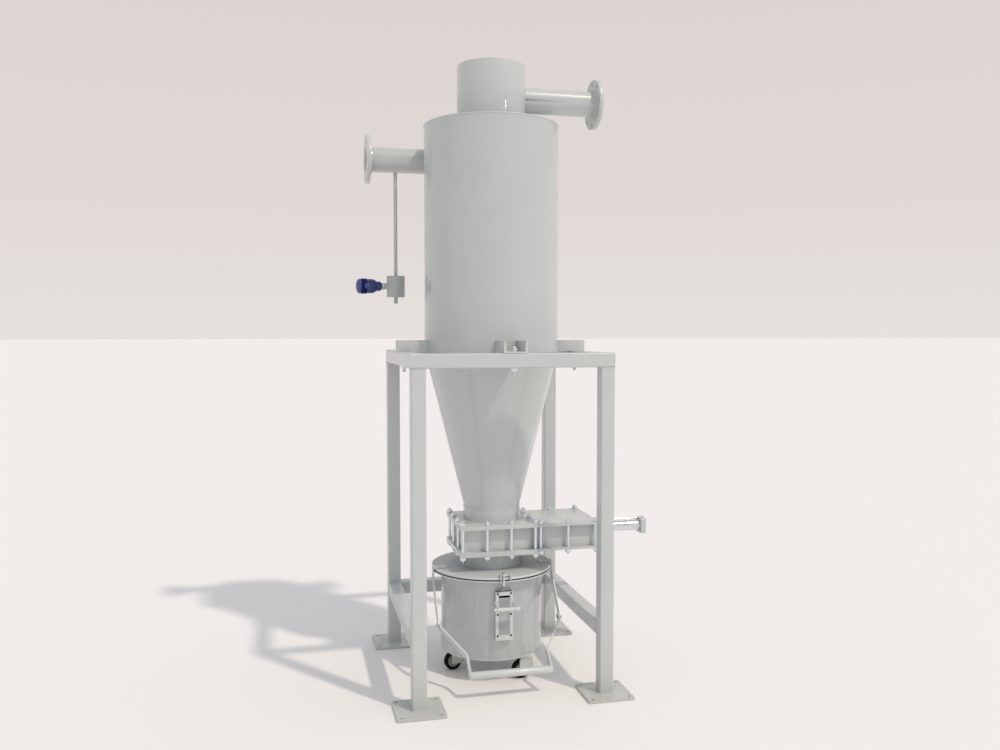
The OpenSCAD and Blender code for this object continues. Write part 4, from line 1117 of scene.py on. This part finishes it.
def transmitter(s):
    x, y, z = s["x"], s["y"], s["z"]
    at = facing((-1, 0, 0), (x, y, z))
    wide, tall = s["dome"]
    arc = [math.radians(d) for d in range(10, 90, 10)]
    dome = [(wide * math.cos(a) + s["domeIn"], s["domeUp"] + tall * math.sin(a)) for a in arc]
    profiles = [s["body"], s["band"], s["cap"] + dome + [(0, s["top"])]]
    parts = [(lathe(inMm(rings), 56), at, i) for i, rings in enumerate(profiles)]
    # grip ribs round the screwed cover
    for i in range(s["lugs"]):
        turned = Matrix.Rotation(2 * math.pi * i / s["lugs"], 4, "Z")
        lug = slab(inMm(s["lug"]), s["lugLong"], s["lugUp"])
        parts.append((lug, at @ turned @ lift((0, s["lugOut"], 0)), 2))
    # conduit plug on the side, with its hexagon socket
    plugAt = facing((0, -1, 0), (x - s["plugAlong"], y - s["plugOut"], z))
    parts.append((lathe(inMm(s["plug"]), 36), plugAt, 2))
    build("transmitter", parts, [blueHousing, blueBand, blueCover],
          ("sensor_housing", "sensor_cover"))
    # small locking screw of the cover
    along, out, down = s["screwAt"]
    spot = ((x - along, y - out, z - down), (0, -0.7, -0.7))
    scatter("coverScrew", lathe(inMm(s["screw"]), 16), [spot], blueBand)
    # sealing nut between the socket and the housing
    nut = hexagon(s["nutAcross"], s["nutLong"], s["nutBore"], s["nutChamfer"])
    build("socketNut", [(nut, facing((-1, 0, 0), (x + s["nutBack"], y, z)))],
          [zincPlated])


transmitter(sensorSettings)
print("pot dressed")


# weld beads at the joints, painted over; a run is its points and whether it closes

def ringAbout(axis, at, radius, count=64):
    place = facing(axis, at)
    return [tuple(place @ Vector((*polar(radius, t), 0))) for t in turns(count)], True


def roundPath(radius, z, count=160, middle=(0, 0)):
    rim = [polar(radius, t) for t in turns(count)]
    return [(middle[0] + x, middle[1] + y, z) for x, y in rim], True


def squarePath(half, z, middle, corner=6 * mm):
    points = []
    for quarter in range(4):
        cx = (half - corner) * (1 if quarter in (0, 3) else -1)
        cy = (half - corner) * (1 if quarter in (0, 1) else -1)
        for step in range(5):
            x, y = polar(corner, math.pi / 2 * quarter + math.pi / 8 * step)
            points.append((middle[0] + cx + x, middle[1] + cy + y, z))
    return points, True


def tubeOutline(half, flat):  # a square tube's outline with its corners cut
    return [(-half, -flat), (-half, flat), (-flat, half), (flat, half),
            (half, flat), (half, -flat), (flat, -half), (-flat, -half)]


def saddlePath(pipeRadius, shellRadius, offset, z, side, count=96):
    points = []  # where a pipe along X meets an upright shell
    for t in turns(count):
        across, rise = polar(pipeRadius, t)
        y = offset + across
        points.append((side * math.sqrt(shellRadius ** 2 - y ** 2), y, z + rise))
    return points, True

weldSettings = {"bead": 2.2 * mm, "thin": 1.2 * mm, "pool": 9 * mm, "height": 0.16}


def weldRun(name, paths, radius, finish=greyEnamel):
    points, edges = [], []
    for path, closed in paths:
        first = len(points)
        points += path
        edges += [(first + i, first + i + 1) for i in range(len(path) - 1)]
        if closed:
            edges.append((len(points) - 1, first))
    mesh = bpy.data.meshes.new(name)
    mesh.from_pydata(points, edges, [])
    s = weldSettings
    made = grown(name, mesh, weldTree, weldKeys, {
        "Bead Radius": radius, "Pool Length": s["pool"], "Pool Height": s["height"], "Finish": finish,
    }, smooth=60)
    settle(name, made, None)


joints = {  # where the joints are, in metres
    "legX": 0.395, "legY": 0.420, "tube": 0.030, "tubeFlat": 0.024, "tieZ": 0.275,
    "foot": (0.0305, 0.0105), "head": (0.0302, 1.380), "overRing": 1.4398, "mitreIn": 0.003,
    "shell": 0.300, "pipe": 0.0575, "headRadius": 0.1525, "flange": 0.0580,
    "inlet": (0.235, 2.316), "inletFlange": -0.509, "outlet": (0, 2.563), "outletFlange": 0.463,
    "rings": [(0.300, 1.440, 200), (0.1262, 0.744), (0.1265, 0.686), (0.1265, 0.546),
              (0.1265, 0.479), (0.2995, 2.4325, 200), (0.153, 2.438)],
    "bracketHalf": 0.050, "bracketUp": (1.442, 1.465, 1.489), "webHalf": 0.038, "webUp": 1.4465,
    "inletSeam": (-0.505, -0.40, -0.30, -0.245), "outletSeam": (0.148, 0.25, 0.35, 0.460),
    "pot": (-0.401, 0.235), "potRings": [(0.0090, 1.7855), (0.0090, 1.6875), (0.0095, 2.2590)],
    "socket": (-0.4425, 0.235, 1.7375), "socketRadius": 0.0145,
    "rim": (0.2285, 0.4565, 200), "binSeam": (0.108, 0.2, 0.3, 0.4, 0.452),
    "binFoot": (0.2272, 0.1055, 200),
}


def cycloneRuns(s):
    runs = [roundPath(*ring) for ring in s["rings"]]
    runs.append(saddlePath(s["pipe"], s["shell"], *s["inlet"], -1, 128))
    runs.append(saddlePath(s["pipe"], s["headRadius"], *s["outlet"], 1))
    for x, at in [(s["inletFlange"], s["inlet"]), (s["outletFlange"], s["outlet"])]:
        runs.append(ringAbout((1, 0, 0), (x, *at), s["flange"]))
    return runs


def frameRuns(s):
    runs = []
    x, y, half, z = s["legX"], s["legY"], s["tube"], s["tieZ"]
    for leg in [(-x, -y), (-x, y), (x, -y), (x, y)]:
        runs += [squarePath(*s["foot"], leg), squarePath(*s["head"], leg)]
    outline = tubeOutline(half, s["tubeFlat"])
    for legX in (-x, x):
        for end in (half - y, y - half):
            runs.append(([(legX + a, end, z + b) for a, b in outline], True))
    for end in (half - x, x - half):
        runs.append(([(end, y + a, z + b) for a, b in outline], True))
    return runs


def bracketRuns(s):
    runs = []
    for turn in (0, 90, 180, 270):
        about = Matrix.Rotation(math.radians(turn), 4, "Z")

        def onShell(x, z, out=1.0):
            return tuple(about @ Vector((x * out, -math.sqrt(s["shell"] ** 2 - x ** 2), z)))

        for x in (-s["bracketHalf"], s["bracketHalf"]):
            runs.append(([onShell(x, z, 1.01) for z in s["bracketUp"]], False))
        runs.append(([onShell(s["webHalf"] * k / 6, s["webUp"]) for k in range(-6, 7)], False))
    return runs


def mitreRuns(s):
    x, y, z = s["legX"], s["legY"], s["overRing"]
    inner, outer = -s["tube"], s["tube"] - s["mitreIn"]
    return [([(a * (x + out), b * (y + out), z) for out in (outer, inner)], False)
            for a in (-1, 1) for b in (-1, 1)]


def seamRuns(s):  # along the undersides of the two pipes
    inY, inZ = s["inlet"]
    inletSeam = [(x, inY - 0.05700, inZ + 0.004) for x in s["inletSeam"]]
    outletSeam = [(x, -0.05695, s["outlet"][1] + 0.005) for x in s["outletSeam"]]
    return [(inletSeam, False), (outletSeam, False)]


bead, thin = weldSettings["bead"], weldSettings["thin"]
weldRun("cycloneWelds", cycloneRuns(joints), bead)
weldRun("frameWelds", frameRuns(joints), bead * 0.9)
weldRun("thinWelds", bracketRuns(joints) + mitreRuns(joints), thin)
weldRun("pipeSeams", seamRuns(joints), thin * 0.6)
potWelds = [roundPath(radius, z, 48, joints["pot"]) for radius, z in joints["potRings"]]
potWelds.append(ringAbout((-1, 0, 0), joints["socket"], joints["socketRadius"], 48))
weldRun("potWelds", potWelds, thin)
binSeam = [(0.0, joints["rim"][0], z) for z in joints["binSeam"]]
weldRun("binWelds", [roundPath(*joints["rim"]), (binSeam, False)], thin)
# the bin's foot bead is paler, a painted highlight along the bottom edge
weldRun("binFootWeld", [roundPath(*joints["binFoot"])], bead, paleEnamel)
print("welds laid")
